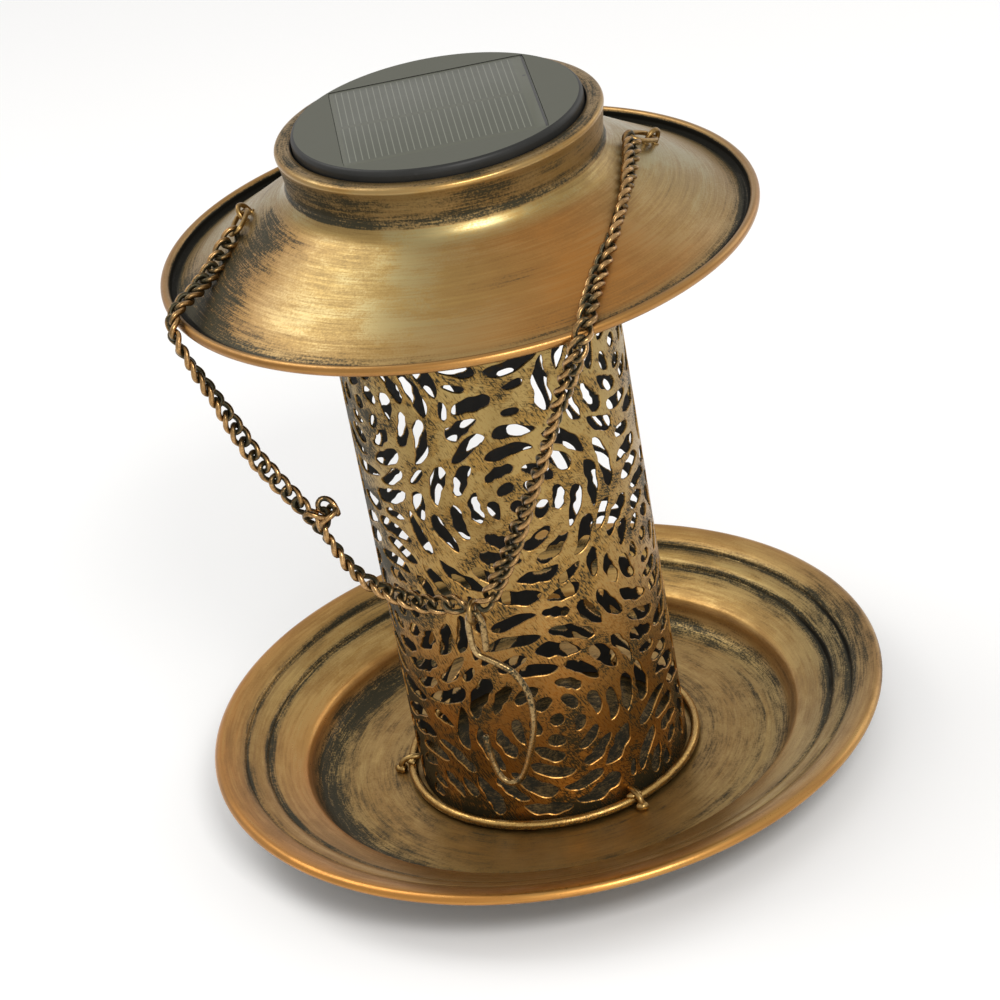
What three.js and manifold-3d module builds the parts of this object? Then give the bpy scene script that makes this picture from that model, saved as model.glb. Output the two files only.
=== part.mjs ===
// Solar hanging lantern bird feeder: a spun seed tray, a perforated sheet tube,
// a flared roof with a lift-out solar light, and a hanging chain with an S-hook.
// Millimetres, +Z up, origin on the tray's underside, on the lantern's axis.
import * as THREE from 'three';
import { mergeVertices } from 'three/addons/utils/BufferGeometryUtils.js';
import Module from 'manifold-3d';

const wasm = await Module();
wasm.setup();

// ---------------------------------------------------------------- dimensions
const SEG = 40;                 // facets round the big turned parts
const TRAY_R = 110;             // tray rim, outer radius
const FLOOR_Z = 1.0;            // tray floor, upper face
const TUBE_R = 44.1;            // perforated tube, outer radius
const TUBE_T = 0.8;             // tube sheet
const TUBE_Z0 = 1.3, TUBE_Z1 = 216;
const TUBE_SEG = 24;
const RING_R = 47.1, RING_WIRE = 1.5, RING_Z = 2.8;   // base ring: centre radius, wire radius, height
const ROOF_BEAD = [89.7, 189.1, 1.5];                 // rolled rim: r, z, radius
const LEDGE_Z = 220.7, LEDGE_R = 41.5;                // seat of the solar light inside the collar
const CAP_R = 43.9, CAP_TOP = 228.7, CAP_UNDER = 221.9;
const CUP_R = 41.0, CUP_WALL = 1.6, CUP_Z = 198.0;    // cup of the solar light
const COVER_T = 2.0;                                  // its bottom cover
const PANEL = 60.2, PANEL_Z0 = 226.8, PANEL_Z1 = 228.5;
const PANEL_TURN = THREE.MathUtils.degToRad(2.2);
const BAT_R = 7.1, BAT_L = 50.5, BAT_Y = 12, BAT_Z = 207.6;
const DOOR = { x0: -27.4, x1: 27.4, y0: 4.0, y1: 20.0 };
const LED_Y = -12;
const SWITCH = { x0: 18.0, x1: 26.4, y0: -16.0, y1: -12.0 };  // slot in the cover
const SCREWS = [[0, 35.4], [-29.0, -20.4], [29.0, -20.4]];
const WIRE_EYE = 0.75, WIRE_HOOK = 1.15, WIRE_LINK = 0.75, CHAIN_R = 1.3;
const EYE_R = 62, EYE_LEFT = 172, EYE_RIGHT = 7;              // chain eyes on the roof
const HANG_N = new THREE.Vector2(-0.43209, -0.90183);         // the chain hangs in this upright plane
const HANG_D = 68.898;                                        // its distance from the axis
const HANG_U = new THREE.Vector2(0.90183, -0.43209);
const PIVOT_U = 14.9, PIVOT_Z = 94.3;                         // where the S-hook hangs

// turned profiles, [radius, height], closed loops
const TRAY_TOP = [[72, 1.0], [77, 2.6], [79.9, 7.0], [81.6, 9.9],
  [90.5, 13.9], [93.0, 14.5], [94.2, 16.2], [99.7, 17.9],
  [101.0, 19.6], [106.6, 21.6], [108.2, 21.7], [109.4, 21.1], [110, 20.1],
  [109.6, 19.1], [108.4, 18.7], [107.0, 19.9]];
const TRAY_UNDER = [[102.0, 18.8], [100.4, 16.9], [95.0, 15.3],
  [93.8, 13.6], [82.4, 9.2], [80.9, 6.7], [78.0, 2.0], [73, 0]];
const ROOF_OUT = [[46.8, 225.6], [48.5, 225.8], [49.5, 224.4], [49.0, 223.0],
  [47.3, 221.6], [47.3, 214.4], [48.4, 211.8], [51.6, 208.8], [56.5, 205.7],
  [64, 201.0], [72, 196.0], [80, 191.2], [86.3, 187.7], [88.1, 188.5], [88.6, 190.0], [89.9, 190.6],
  [91.2, 189.1], [90.4, 187.7], [88.6, 187.3]];
const ROOF_IN = [[86.3, 186.8], [79.6, 190.2], [71.6, 195.0], [63.6, 200.0], [56.1, 204.7],
  [51.1, 207.9], [47.7, 211.3], [46.5, 214.3], [46.5, 219.9], [41.5, 219.9], [41.5, 220.7],
  [44.5, 220.7], [44.8, 224.3]];

// chain centre line, from each roof eye to the S-hook
const CHAIN_L = [[-65.6, -0.9, 202.3], [-69.0, -5.6, 200.2], [-72.1, -10.3, 197.9], [-75.4, -14.9, 195.9], [-79.0, -19.7, 194.5],
  [-82.6, -24.5, 193.7], [-85.8, -29.6, 192.5], [-87.0, -34.2, 189.1], [-85.6, -36.8, 183.8], [-83.4, -38.1, 178.2],
  [-81.1, -38.8, 172.6], [-78.8, -39.3, 167.0], [-76.6, -39.9, 161.3], [-74.5, -40.7, 155.6], [-72.2, -41.8, 150.1],
  [-69.4, -43.1, 144.8], [-66.2, -44.6, 139.8], [-62.9, -46.2, 134.9], [-59.7, -47.8, 130.0], [-56.8, -49.2, 124.8],
  [-54.2, -50.4, 119.4], [-51.6, -51.7, 114.0], [-48.4, -53.2, 109.1], [-44.2, -55.2, 105.2], [-39.3, -57.6, 102.4],
  [-34.1, -60.1, 100.6], [-28.8, -62.6, 99.4], [-21.6, -66.0, 99.6]];
const CHAIN_R_ = [[55.9, -1.0, 209.0], [55.2, -5.6, 209.1], [54.4, -10.8, 208.6], [53.5, -17.0, 208.5], [52.2, -23.0, 207.8], [50.7, -29.0, 207.0],
  [49.1, -34.9, 205.8], [47.2, -40.7, 204.5], [45.1, -46.4, 203.0], [42.9, -52.0, 201.4], [40.4, -57.4, 199.6],
  [37.9, -62.8, 197.7], [35.5, -68.4, 196.3], [33.6, -74.2, 195.5], [31.9, -80.2, 194.7], [30.0, -85.8, 192.7],
  [27.4, -89.5, 188.6], [24.6, -89.9, 183.1], [22.2, -88.6, 177.5], [20.0, -86.7, 172.0], [17.9, -85.0, 166.4],
  [15.7, -83.7, 160.7], [13.4, -82.6, 155.0], [11.1, -81.6, 149.3], [8.6, -80.6, 143.7], [6.2, -79.5, 138.1],
  [3.7, -78.3, 132.4], [1.3, -77.1, 126.9], [-1.3, -75.8, 121.3], [-3.9, -74.5, 115.8], [-6.7, -73.1, 110.4],
  [-9.6, -71.8, 105.1], [-11.4, -71.0, 101.9]];
// S-hook centre line in the hanging plane, [along, height]
const HOOK = [[16.7, 84.4], [17.0, 89.0], [17.1, 93.0], [16.5, 95.7], [14.9, 97.2], [13.2, 95.9], [12.5, 93.0], [12.4, 88.4],
  [12.6, 84.9], [13.8, 82.4], [16.5, 81.1], [20.2, 79.3], [24.0, 76.8], [26.5, 72.8], [27.8, 68.4], [28.0, 63.0], [27.4, 57.6],
  [26.1, 52.4], [24.4, 47.2], [22.1, 41.4], [19.5, 37.4], [16.7, 36.1], [14.0, 37.2], [12.2, 41.0], [11.3, 46.4], [10.9, 52.4]];

// ------------------------------------------------------------------ helpers
const v3 = (a) => new THREE.Vector3(a[0], a[1], a[2]);
function toSolid(geometry) {
  let g = geometry.index ? geometry.toNonIndexed() : geometry.clone();
  g.deleteAttribute('normal'); g.deleteAttribute('uv');
  g = mergeVertices(g, 1e-4);
  const p = g.attributes.position.array, idx = g.index.array, tri = [];
  for (let i = 0; i < idx.length; i += 3) {
    if (idx[i] !== idx[i + 1] && idx[i + 1] !== idx[i + 2] && idx[i] !== idx[i + 2]) tri.push(idx[i], idx[i + 1], idx[i + 2]);
  }
  return new wasm.Manifold(new wasm.Mesh({ numProp: 3, vertProperties: new Float32Array(p), triVerts: new Uint32Array(tri) }));
}
function toGeometry(solid) {
  const m = solid.getMesh();
  const g = new THREE.BufferGeometry();
  const n = m.numProp, src = m.vertProperties, pos = new Float32Array((src.length / n) * 3);
  for (let i = 0, j = 0; i < src.length; i += n) { pos[j++] = src[i]; pos[j++] = src[i + 1]; pos[j++] = src[i + 2]; }
  g.setAttribute('position', new THREE.BufferAttribute(pos, 3));
  g.setIndex(new THREE.BufferAttribute(new Uint32Array(m.triVerts), 1));
  g.computeVertexNormals();
  return g;
}
// a closed profile turned about Z
function turned(profile, seg = SEG) {
  const pts = profile.map((q) => new THREE.Vector2(q[0], q[1]));
  if (profile[0][0] > 1e-6 || profile[profile.length - 1][0] > 1e-6) pts.push(pts[0].clone());
  let area = 0;
  for (let i = 0; i < pts.length; i++) { const a = pts[i], b = pts[(i + 1) % pts.length]; area += a.x * b.y - b.x * a.y; }
  if (area < 0) pts.reverse();
  const g = new THREE.LatheGeometry(pts, seg);
  g.rotateX(Math.PI / 2);
  return g;
}
function plate(w, d, h, x = 0, y = 0, z = 0) {
  const g = new THREE.BoxGeometry(w, d, h);
  g.translate(x, y, z + h / 2);
  return g;
}
function post(r, z0, z1, x = 0, y = 0, seg = 16) {
  const g = new THREE.CylinderGeometry(r, r, z1 - z0, seg);
  g.rotateX(Math.PI / 2);
  g.translate(x, y, (z0 + z1) / 2);
  return g;
}
function roundSection(r, sides) {
  const s = new THREE.Shape();
  for (let i = 0; i < sides; i++) {
    const a = (i / sides) * Math.PI * 2;
    if (i === 0) s.moveTo(r * Math.cos(a), r * Math.sin(a)); else s.lineTo(r * Math.cos(a), r * Math.sin(a));
  }
  s.closePath();
  return s;
}
function wire(points, r, sides, steps, tension = 'catmullrom') {
  const c = new THREE.CatmullRomCurve3(points, false, tension, 0.5);
  return new THREE.ExtrudeGeometry(roundSection(r, sides), { extrudePath: c, steps, bevelEnabled: false });
}
function mesh(name, geometry, color, roughness, metalness) {
  const m = new THREE.Mesh(geometry, new THREE.MeshStandardMaterial({ color, roughness, metalness }));
  m.name = name;
  return m;
}
const BRONZE = [0x9a7440, 0.42, 0.85], DARK = [0x3a352c, 0.5, 0.8], BLACK = [0x151617, 0.45, 0.0];

const group = new THREE.Group();
const add = (name, g, m) => { const o = mesh(name, g, ...m); group.add(o); return o; };

// --------------------------------------------------------------------- tray
add('tray', turned([[0, FLOOR_Z], ...TRAY_TOP, ...TRAY_UNDER, [0, 0]]), BRONZE);

// ---------------------------------------------------------- perforated tube
// rose pattern: staggered columns of roses, each a round centre and a ring of curved slots
function slotCutter(theta0, z0, pts) {
  // prism through the wall, drawn in the unrolled sheet (arc, height) round (theta0, z0)
  const s = new THREE.Shape();
  pts.forEach((q, i) => (i ? s.lineTo(q[0], q[1]) : s.moveTo(q[0], q[1])));
  s.closePath();
  const g = new THREE.ExtrudeGeometry(s, { depth: 8, bevelEnabled: false });
  const p = g.attributes.position;
  for (let i = 0; i < p.count; i++) {
    const a = theta0 + p.getX(i) / TUBE_R, r = TUBE_R - 4 + p.getZ(i), z = z0 + p.getY(i);
    p.setXYZ(i, r * Math.cos(a), r * Math.sin(a), z);
  }
  return g;
}
function arcSlot(rad, a0, a1, w, n = 3) {
  const pts = [];
  for (let i = 0; i <= n; i++) { const a = a0 + (a1 - a0) * i / n, k = rad + w * (i === 0 || i === n ? 0.15 : 0.5); pts.push([k * Math.cos(a), k * Math.sin(a)]); }
  for (let i = n; i >= 0; i--) { const a = a0 + (a1 - a0) * i / n, k = rad - w * (i === 0 || i === n ? 0.15 : 0.5); pts.push([k * Math.cos(a), k * Math.sin(a)]); }
  return pts;
}
{
  const wall = turned([[TUBE_R - TUBE_T, TUBE_Z0], [TUBE_R, TUBE_Z0], [TUBE_R, TUBE_Z1], [TUBE_R - TUBE_T, TUBE_Z1]], TUBE_SEG);
  let tube = toSolid(wall);
  const cutters = [];
  for (let col = 0; col < 6; col++) {
    const th = THREE.MathUtils.degToRad(-86 + 60 * col);
    const rows = col % 2 === 0 ? [39, 114] : [77, 152];
    for (const z of rows) {
      cutters.push(slotCutter(th, z, [0, 1, 2, 3, 4, 5].map((i) => [3.4 * Math.cos(i * Math.PI / 3), 3.4 * Math.sin(i * Math.PI / 3)])));
      for (let i = 0; i < 5; i++) { const a = i * Math.PI * 0.4 + 0.3 * col + z * 0.01; cutters.push(slotCutter(th, z, arcSlot(17, a, a + 0.95, 7.0, 2))); }
    }
  }
  for (const c of cutters) tube = tube.subtract(toSolid(c));
  add('perforated_tube', toGeometry(tube), BRONZE);
}

// ------------------------------------------------- rings and lugs of the tube
function torusProfile(R, z, r, n = 8) {
  const p = [];
  for (let i = 0; i < n; i++) { const a = (i + 0.5) / n * Math.PI * 2; p.push([R + r * Math.cos(a), z + r * Math.sin(a)]); }
  return p;
}
add('base_ring', turned(torusProfile(RING_R, RING_Z, RING_WIRE, 6), 36), BRONZE);
add('top_ring', turned(torusProfile(45.3, 214.2, 0.9, 5), 30), DARK);
[-62, 58, 178].forEach((deg, i) => {
  // radial wire lug over the base ring, bent down to the tray floor
  const a = THREE.MathUtils.degToRad(deg), d = new THREE.Vector3(Math.cos(a), Math.sin(a), 0);
  const at = (r, z) => d.clone().multiplyScalar(r).setZ(z);
  const z = RING_Z + RING_WIRE + 1.3;
  add(`ring_lug_${i + 1}`, wire([at(44.5, z), at(47, z), at(49.6, z), at(51.3, z - 0.6), at(52, z - 2.0), at(52.1, FLOOR_Z + 0.4)], 1.0, 6, 8), BRONZE);
});

// --------------------------------------------------------------------- roof
function roofHeight(r) {
  for (let i = 6; i < ROOF_OUT.length - 1; i++) {
    const [r0, z0] = ROOF_OUT[i], [r1, z1] = ROOF_OUT[i + 1];
    if (r >= r0 && r <= r1) return z0 + (z1 - z0) * (r - r0) / (r1 - r0);
  }
  return 190;
}
const NORMAL_TILT = Math.atan2(201.0 - 196.0, 72 - 64);
function eyeFrame(deg, toward) {
  const a = THREE.MathUtils.degToRad(deg);
  const base = new THREE.Vector3(EYE_R * Math.cos(a), EYE_R * Math.sin(a), roofHeight(EYE_R));
  const n = new THREE.Vector3(Math.sin(NORMAL_TILT) * Math.cos(a), Math.sin(NORMAL_TILT) * Math.sin(a), Math.cos(NORMAL_TILT));
  const q = v3(toward).sub(base); q.addScaledVector(n, -q.dot(n)).normalize();
  return { base, n, q, b: new THREE.Vector3().crossVectors(q, n).normalize() };
}
const EYES = { left: { deg: EYE_LEFT, to: CHAIN_L[0] }, right: { deg: EYE_RIGHT, to: CHAIN_R_[0] } };
{
  let roof = toSolid(turned([...ROOF_OUT, ...ROOF_IN]));
  for (const k of ['left', 'right']) {
    const { base, n, q } = eyeFrame(EYES[k].deg, EYES[k].to);
    for (const s of [-1, 1]) {
      const g = new THREE.CylinderGeometry(1.15, 1.15, 8, 10);
      g.applyQuaternion(new THREE.Quaternion().setFromUnitVectors(new THREE.Vector3(0, 1, 0), n));
      const p = base.clone().addScaledVector(q, s * 2.7);
      g.translate(p.x, p.y, p.z);
      roof = roof.subtract(toSolid(g));
    }
  }
  add('roof', toGeometry(roof), BRONZE);
}
for (const k of ['left', 'right']) {
  const { base, n, q, b } = eyeFrame(EYES[k].deg, EYES[k].to);
  const P = (s, h) => base.clone().addScaledVector(q, s).addScaledVector(n, h);
  // staple: a wire arch whose two legs pass through the roof
  add(`chain_eye_${k}`, wire([P(-2.7, -3.4), P(-2.7, -1), P(-2.7, 1.6), P(-1.9, 3.6), P(0, 4.5), P(1.9, 3.6), P(2.7, 1.6), P(2.7, -1), P(2.7, -3.4)], WIRE_EYE, 6, 16), DARK);
  // oval ring between the staple and the chain's first link
  const E = P(0.3, 2.3), K = v3(EYES[k].to).sub(E), len = K.length() + 0.6;
  const dir = K.clone().normalize(), side = b.clone().addScaledVector(dir, -b.dot(dir)).normalize();
  const g = new THREE.TorusGeometry(2.7, WIRE_LINK, 6, 16);
  const pos = g.attributes.position, stretch = len / 2 - 2.7;
  for (let i = 0; i < pos.count; i++) {
    const a = Math.atan2(pos.getY(i), pos.getX(i));
    pos.setX(i, pos.getX(i) + stretch * Math.max(-1, Math.min(1, 1.6 * Math.cos(a))));
  }
  const m = new THREE.Matrix4().makeBasis(dir, side, new THREE.Vector3().crossVectors(dir, side));
  g.applyMatrix4(m);
  const c = E.clone().addScaledVector(dir, len / 2);
  g.translate(c.x, c.y, c.z);
  add(`jump_ring_${k}`, g, DARK);
}

// ------------------------------------------------------------ chain and hook
const hang = (u, z) => new THREE.Vector3(HANG_N.x * HANG_D + HANG_U.x * u, HANG_N.y * HANG_D + HANG_U.y * u, z);
function trimmed(pts, a, b) { return pts.slice(a, pts.length - b).map(v3); }
add('chain_left', wire(trimmed(CHAIN_L, 1, 0), CHAIN_R, 8, 32), DARK);
add('chain_right', wire(trimmed(CHAIN_R_, 1, 0), CHAIN_R, 8, 36), DARK);
{
  const g = new THREE.TorusGeometry(3.3, WIRE_LINK, 6, 16);
  g.applyMatrix4(new THREE.Matrix4().makeBasis(new THREE.Vector3(HANG_N.x, HANG_N.y, 0), new THREE.Vector3(0, 0, 1), new THREE.Vector3(-HANG_U.x, -HANG_U.y, 0)));
  const c = hang(PIVOT_U, PIVOT_Z + 3.3);
  g.translate(c.x, c.y, c.z);
  add('centre_ring', g, DARK);
}
add('s_hook', wire(HOOK.map(([u, z]) => hang(u, z)), WIRE_HOOK, 7, 44), DARK);

// -------------------------------------------------------------- solar light
function disc(R, z0, z1, seg = SEG) { return turned([[0, z1], [R, z1], [R, z0], [0, z0]], seg); }
{
  let h = toSolid(turned([[0, CAP_TOP], [42.0, CAP_TOP], [43.2, CAP_TOP - 0.5], [CAP_R, CAP_TOP - 1.7], [CAP_R, CAP_UNDER + 0.5], [CAP_R - 0.4, CAP_UNDER],
    [CUP_R, CAP_UNDER], [CUP_R, CUP_Z], [CUP_R - CUP_WALL, CUP_Z], [CUP_R - CUP_WALL, 224.5], [0, 224.5]]));
  for (const [x, y] of SCREWS) h = h.add(toSolid(post(3.2, CUP_Z + COVER_T + 0.3, 225, x, y)));
  for (const [x, y] of SCREWS) h = h.subtract(toSolid(post(1.5, CUP_Z, 213, x, y, 10)));
  const pocket = plate(PANEL + 0.7, PANEL + 0.7, 6, 0, 0, PANEL_Z0 - 0.3); pocket.rotateZ(PANEL_TURN);
  h = h.subtract(toSolid(pocket).intersect(toSolid(disc(42.7, 220, 240))));
  add('solar_housing', toGeometry(h), BLACK);
  const p = plate(PANEL, PANEL, PANEL_Z1 - PANEL_Z0, 0, 0, PANEL_Z0); p.rotateZ(PANEL_TURN);
  add('pv_panel', toGeometry(toSolid(p).intersect(toSolid(disc(42.3, 220, 240)))), [0x23272b, 0.25, 0.0]);
}
add('flange_gasket', turned([[41.7, 221.0], [43.6, 221.0], [43.6, 221.6], [41.7, 221.6]], 40), BLACK);
{
  let c = toSolid(disc(CUP_R - CUP_WALL - 0.3, CUP_Z, CUP_Z + COVER_T));
  c = c.subtract(toSolid(plate(DOOR.x1 - DOOR.x0 + 0.7, DOOR.y1 - DOOR.y0 + 0.7, 6, (DOOR.x0 + DOOR.x1) / 2, (DOOR.y0 + DOOR.y1) / 2, CUP_Z - 2)));
  c = c.subtract(toSolid(post(6.0, CUP_Z - 2, CUP_Z + 4, 0, LED_Y, 20)));
  c = c.subtract(toSolid(plate(SWITCH.x1 - SWITCH.x0, SWITCH.y1 - SWITCH.y0, 6, (SWITCH.x0 + SWITCH.x1) / 2, (SWITCH.y0 + SWITCH.y1) / 2, CUP_Z - 2)));
  for (const [x, y] of SCREWS) c = c.subtract(toSolid(post(1.5, CUP_Z - 2, CUP_Z + 4, x, y, 10)));
  add('bottom_cover', toGeometry(c), BLACK);
}
SCREWS.forEach(([x, y], i) => {
  const g = turned([[0, 195.9], [1.6, 195.9], [2.6, 196.4], [2.8, 197.7], [1.1, 197.7], [1.1, 210.5], [0, 211.4]], 12);
  g.translate(x, y, 0);
  add(`cover_screw_${i + 1}`, g, [0x8d9094, 0.35, 1.0]);
});
{
  // battery door with a thumb ridge at its free end
  const d = toSolid(plate(DOOR.x1 - DOOR.x0, DOOR.y1 - DOOR.y0, COVER_T, 0, (DOOR.y0 + DOOR.y1) / 2, CUP_Z))
    .add(toSolid(plate(1.6, 9, 1.6, 21.5, (DOOR.y0 + DOOR.y1) / 2, CUP_Z - 1.2))).add(toSolid(plate(1.6, 9, 1.6, 24.3, (DOOR.y0 + DOOR.y1) / 2, CUP_Z - 1.2)));
  add('battery_door', toGeometry(d), BLACK);
}
{
  // open-bottomed battery box
  const s = new THREE.Shape();
  s.moveTo(-9.1, 0); s.lineTo(-7.9, 0); s.lineTo(-7.9, 15.0); s.lineTo(7.9, 15.0); s.lineTo(7.9, 0); s.lineTo(9.1, 0); s.lineTo(9.1, 16.2); s.lineTo(-9.1, 16.2); s.closePath();
  const g = new THREE.ExtrudeGeometry(s, { depth: 62, bevelEnabled: false });
  g.rotateX(Math.PI / 2); g.rotateZ(Math.PI / 2); g.translate(-31, BAT_Y, 200.3);
  const box = toSolid(g).add(toSolid(plate(1.2, 17, 15.6, -30.4, BAT_Y, 200.3))).add(toSolid(plate(1.2, 17, 15.6, 30.4, BAT_Y, 200.3)));
  add('battery_box', toGeometry(box), BLACK);
}
{
  const g = turned([[0, -BAT_L / 2], [6.0, -BAT_L / 2], [BAT_R, -BAT_L / 2 + 0.6], [BAT_R, BAT_L / 2 - 1.8], [6.2, BAT_L / 2 - 1.2], [2.7, BAT_L / 2 - 1.2], [2.7, BAT_L / 2], [0, BAT_L / 2]], 20);
  g.rotateY(Math.PI / 2); g.translate(0.4, BAT_Y, BAT_Z);
  add('battery', g, [0x3f7f4f, 0.4, 0.2]);
}
{
  const pts = [];
  for (let i = 0; i <= 20; i++) { const t = i / 20, a = t * Math.PI * 2 * 2.5; const r = 4.6 - 2.0 * t; pts.push(new THREE.Vector3(-29.2 + 3.6 * t, BAT_Y + r * Math.cos(a), BAT_Z + r * Math.sin(a))); }
  add('battery_spring', wire(pts, 0.35, 5, 30), [0xc0c3c6, 0.3, 1.0]);
  add('battery_contact', plate(0.6, 10, 10, 26.9, BAT_Y, BAT_Z - 5), [0xc0c3c6, 0.3, 1.0]);
}
add('circuit_board', plate(30, 13, 1.6, 0, -15, 205.6), [0x1f5a34, 0.5, 0.0]);
add('led', (() => { const g = turned([[0, 198.4], [1.6, 198.8], [2.5, 200.2], [2.5, 203.9], [2.9, 203.9], [2.9, 205.2], [0, 205.2]], 16); g.translate(0, LED_Y, 0); return g; })(), [0xf3f1e4, 0.15, 0.0]);
add('led_lens', (() => { const g = turned([[0, 190.6], [3.4, 191.4], [6.2, 193.6], [7.6, 196.2], [9.2, 196.3], [9.2, 197.7], [6.2, 197.7], [5.8, 196.0], [4.4, 193.8], [2.4, 192.4], [0, 191.9]], 18); g.translate(0, LED_Y, 0); return g; })(), [0xe9ecef, 0.1, 0.0]);
add('switch_body', plate(12, 6.4, 4.6, (SWITCH.x0 + SWITCH.x1) / 2, (SWITCH.y0 + SWITCH.y1) / 2, 200.9), [0x9a9da0, 0.4, 0.6]);
{
  const k = toSolid(plate(4.2, 3.2, 4.2, SWITCH.x0 + 0.6 + 2.1, (SWITCH.y0 + SWITCH.y1) / 2, 196.4));
  add('switch_knob', toGeometry(k), BLACK);
}

export default group;
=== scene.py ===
# Looks of the solar hanging lantern bird feeder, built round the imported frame. Metres in the frame; lengths below are in millimetres and scaled once.
import bpy
import math
import numpy as np
from mathutils import Matrix, Vector
from mathutils.geometry import delaunay_2d_cdt


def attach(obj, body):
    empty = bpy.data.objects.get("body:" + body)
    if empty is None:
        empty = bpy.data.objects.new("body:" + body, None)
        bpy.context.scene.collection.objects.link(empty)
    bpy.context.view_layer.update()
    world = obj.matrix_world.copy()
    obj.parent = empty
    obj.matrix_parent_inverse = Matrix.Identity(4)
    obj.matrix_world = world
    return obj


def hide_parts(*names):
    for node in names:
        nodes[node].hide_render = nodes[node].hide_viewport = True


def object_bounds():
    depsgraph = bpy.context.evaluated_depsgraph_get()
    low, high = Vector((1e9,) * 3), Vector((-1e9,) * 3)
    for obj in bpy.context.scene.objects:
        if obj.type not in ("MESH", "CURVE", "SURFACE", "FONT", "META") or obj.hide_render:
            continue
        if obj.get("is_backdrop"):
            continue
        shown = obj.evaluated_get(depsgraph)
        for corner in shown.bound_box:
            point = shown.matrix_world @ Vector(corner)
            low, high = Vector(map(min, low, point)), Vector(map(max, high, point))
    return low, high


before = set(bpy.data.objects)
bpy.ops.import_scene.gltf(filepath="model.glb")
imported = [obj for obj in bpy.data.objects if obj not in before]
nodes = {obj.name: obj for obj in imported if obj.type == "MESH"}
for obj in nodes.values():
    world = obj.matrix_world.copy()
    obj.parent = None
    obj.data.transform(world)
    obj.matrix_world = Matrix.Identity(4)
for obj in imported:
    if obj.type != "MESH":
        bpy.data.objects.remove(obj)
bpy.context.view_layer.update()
scene = bpy.context.scene
MM = 0.001
rng = np.random.RandomState(7)

# ------------------------------------------------------------------ camera
cam_data = bpy.data.cameras.new("camera")
cam_data.sensor_width = 36.0
cam_data.lens = 111.99
cam_data.clip_start, cam_data.clip_end = 0.05, 20.0
camera = bpy.data.objects.new("camera", cam_data)
scene.collection.objects.link(camera)
scene.camera = camera
_m = Matrix(((0.9830010406589219, 0.18357984526334195, 0.002719278684456235, 0.0),
             (-0.08583584168596955, 0.47261043297798094, -0.8770812886628164, -0.8605637011503692),
             (-0.16229960673254104, 0.8619384079233579, 0.480334277978378, 0.5667390933089685),
             (0, 0, 0, 1)))
camera.matrix_world = _m

# ------------------------------------------------------------------ helpers: curves and meshes
def catmull(points, per, closed=False, centripetal=False):
    P = np.asarray(points, float)
    n = len(P)
    if closed:
        P = np.vstack([P[-1], P, P[0], P[1]])
    else:
        P = np.vstack([2 * P[0] - P[1], P, 2 * P[-1] - P[-2]])
    out = []
    segs = n if closed else n - 1
    for i in range(segs):
        p0, p1, p2, p3 = P[i:i + 4]
        t = np.linspace(0, 1, per, endpoint=False)[:, None]
        if centripetal:
            d = [max(np.linalg.norm(b - a), 1e-6) ** 0.5 for a, b in ((p0, p1), (p1, p2), (p2, p3))]
            m1 = ((p1 - p0) / d[0] - (p2 - p0) / (d[0] + d[1]) + (p2 - p1) / d[1]) * d[1]
            m2 = ((p2 - p1) / d[1] - (p3 - p1) / (d[1] + d[2]) + (p3 - p2) / d[2]) * d[1]
        else:
            m1, m2 = (p2 - p0) / 2, (p3 - p1) / 2
        h = (2 * t**3 - 3 * t**2 + 1) * p1 + (t**3 - 2 * t**2 + t) * m1 + (-2 * t**3 + 3 * t**2) * p2 + (t**3 - t**2) * m2
        out.append(h)
    if not closed:
        out.append(P[-2][None])
    return np.vstack(out)


def along(P, step=None, count=None, closed=False):
    Q = np.vstack([P, P[:1]]) if closed else P
    d = np.r_[0, np.cumsum(np.linalg.norm(np.diff(Q, axis=0), axis=1))]
    n = count or max(2, int(round(d[-1] / step)))
    t = np.linspace(0, d[-1], n + 1)
    if closed:
        t = t[:-1]
    return np.column_stack([np.interp(t, d, Q[:, k]) for k in range(Q.shape[1])])


def transport(P, n0=None, closed=False):
    """Unit tangents and two normals carried along P without twist."""
    T = np.gradient(P, axis=0) if not closed else np.roll(P, -1, 0) - np.roll(P, 1, 0)
    T /= np.linalg.norm(T, axis=1)[:, None]
    ref = np.array(n0 if n0 is not None else (0, 0, 1), float)
    if abs(ref @ T[0]) > 0.95:
        ref = np.array((1.0, 0, 0))
    N = np.zeros_like(P)
    N[0] = ref - (ref @ T[0]) * T[0]
    N[0] /= np.linalg.norm(N[0])
    for i in range(1, len(P)):
        v = N[i - 1] - (N[i - 1] @ T[i]) * T[i]
        N[i] = v / np.linalg.norm(v)
    if closed:
        v = N[-1] - (N[-1] @ T[0]) * T[0]
        v /= np.linalg.norm(v)
        a = math.atan2(np.dot(np.cross(v, N[0]), T[0]), v @ N[0])
        ang = np.linspace(0, a, len(P))
        B = np.cross(T, N)
        N = N * np.cos(ang)[:, None] + B * np.sin(ang)[:, None]
    return T, N, np.cross(T, N)


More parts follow.
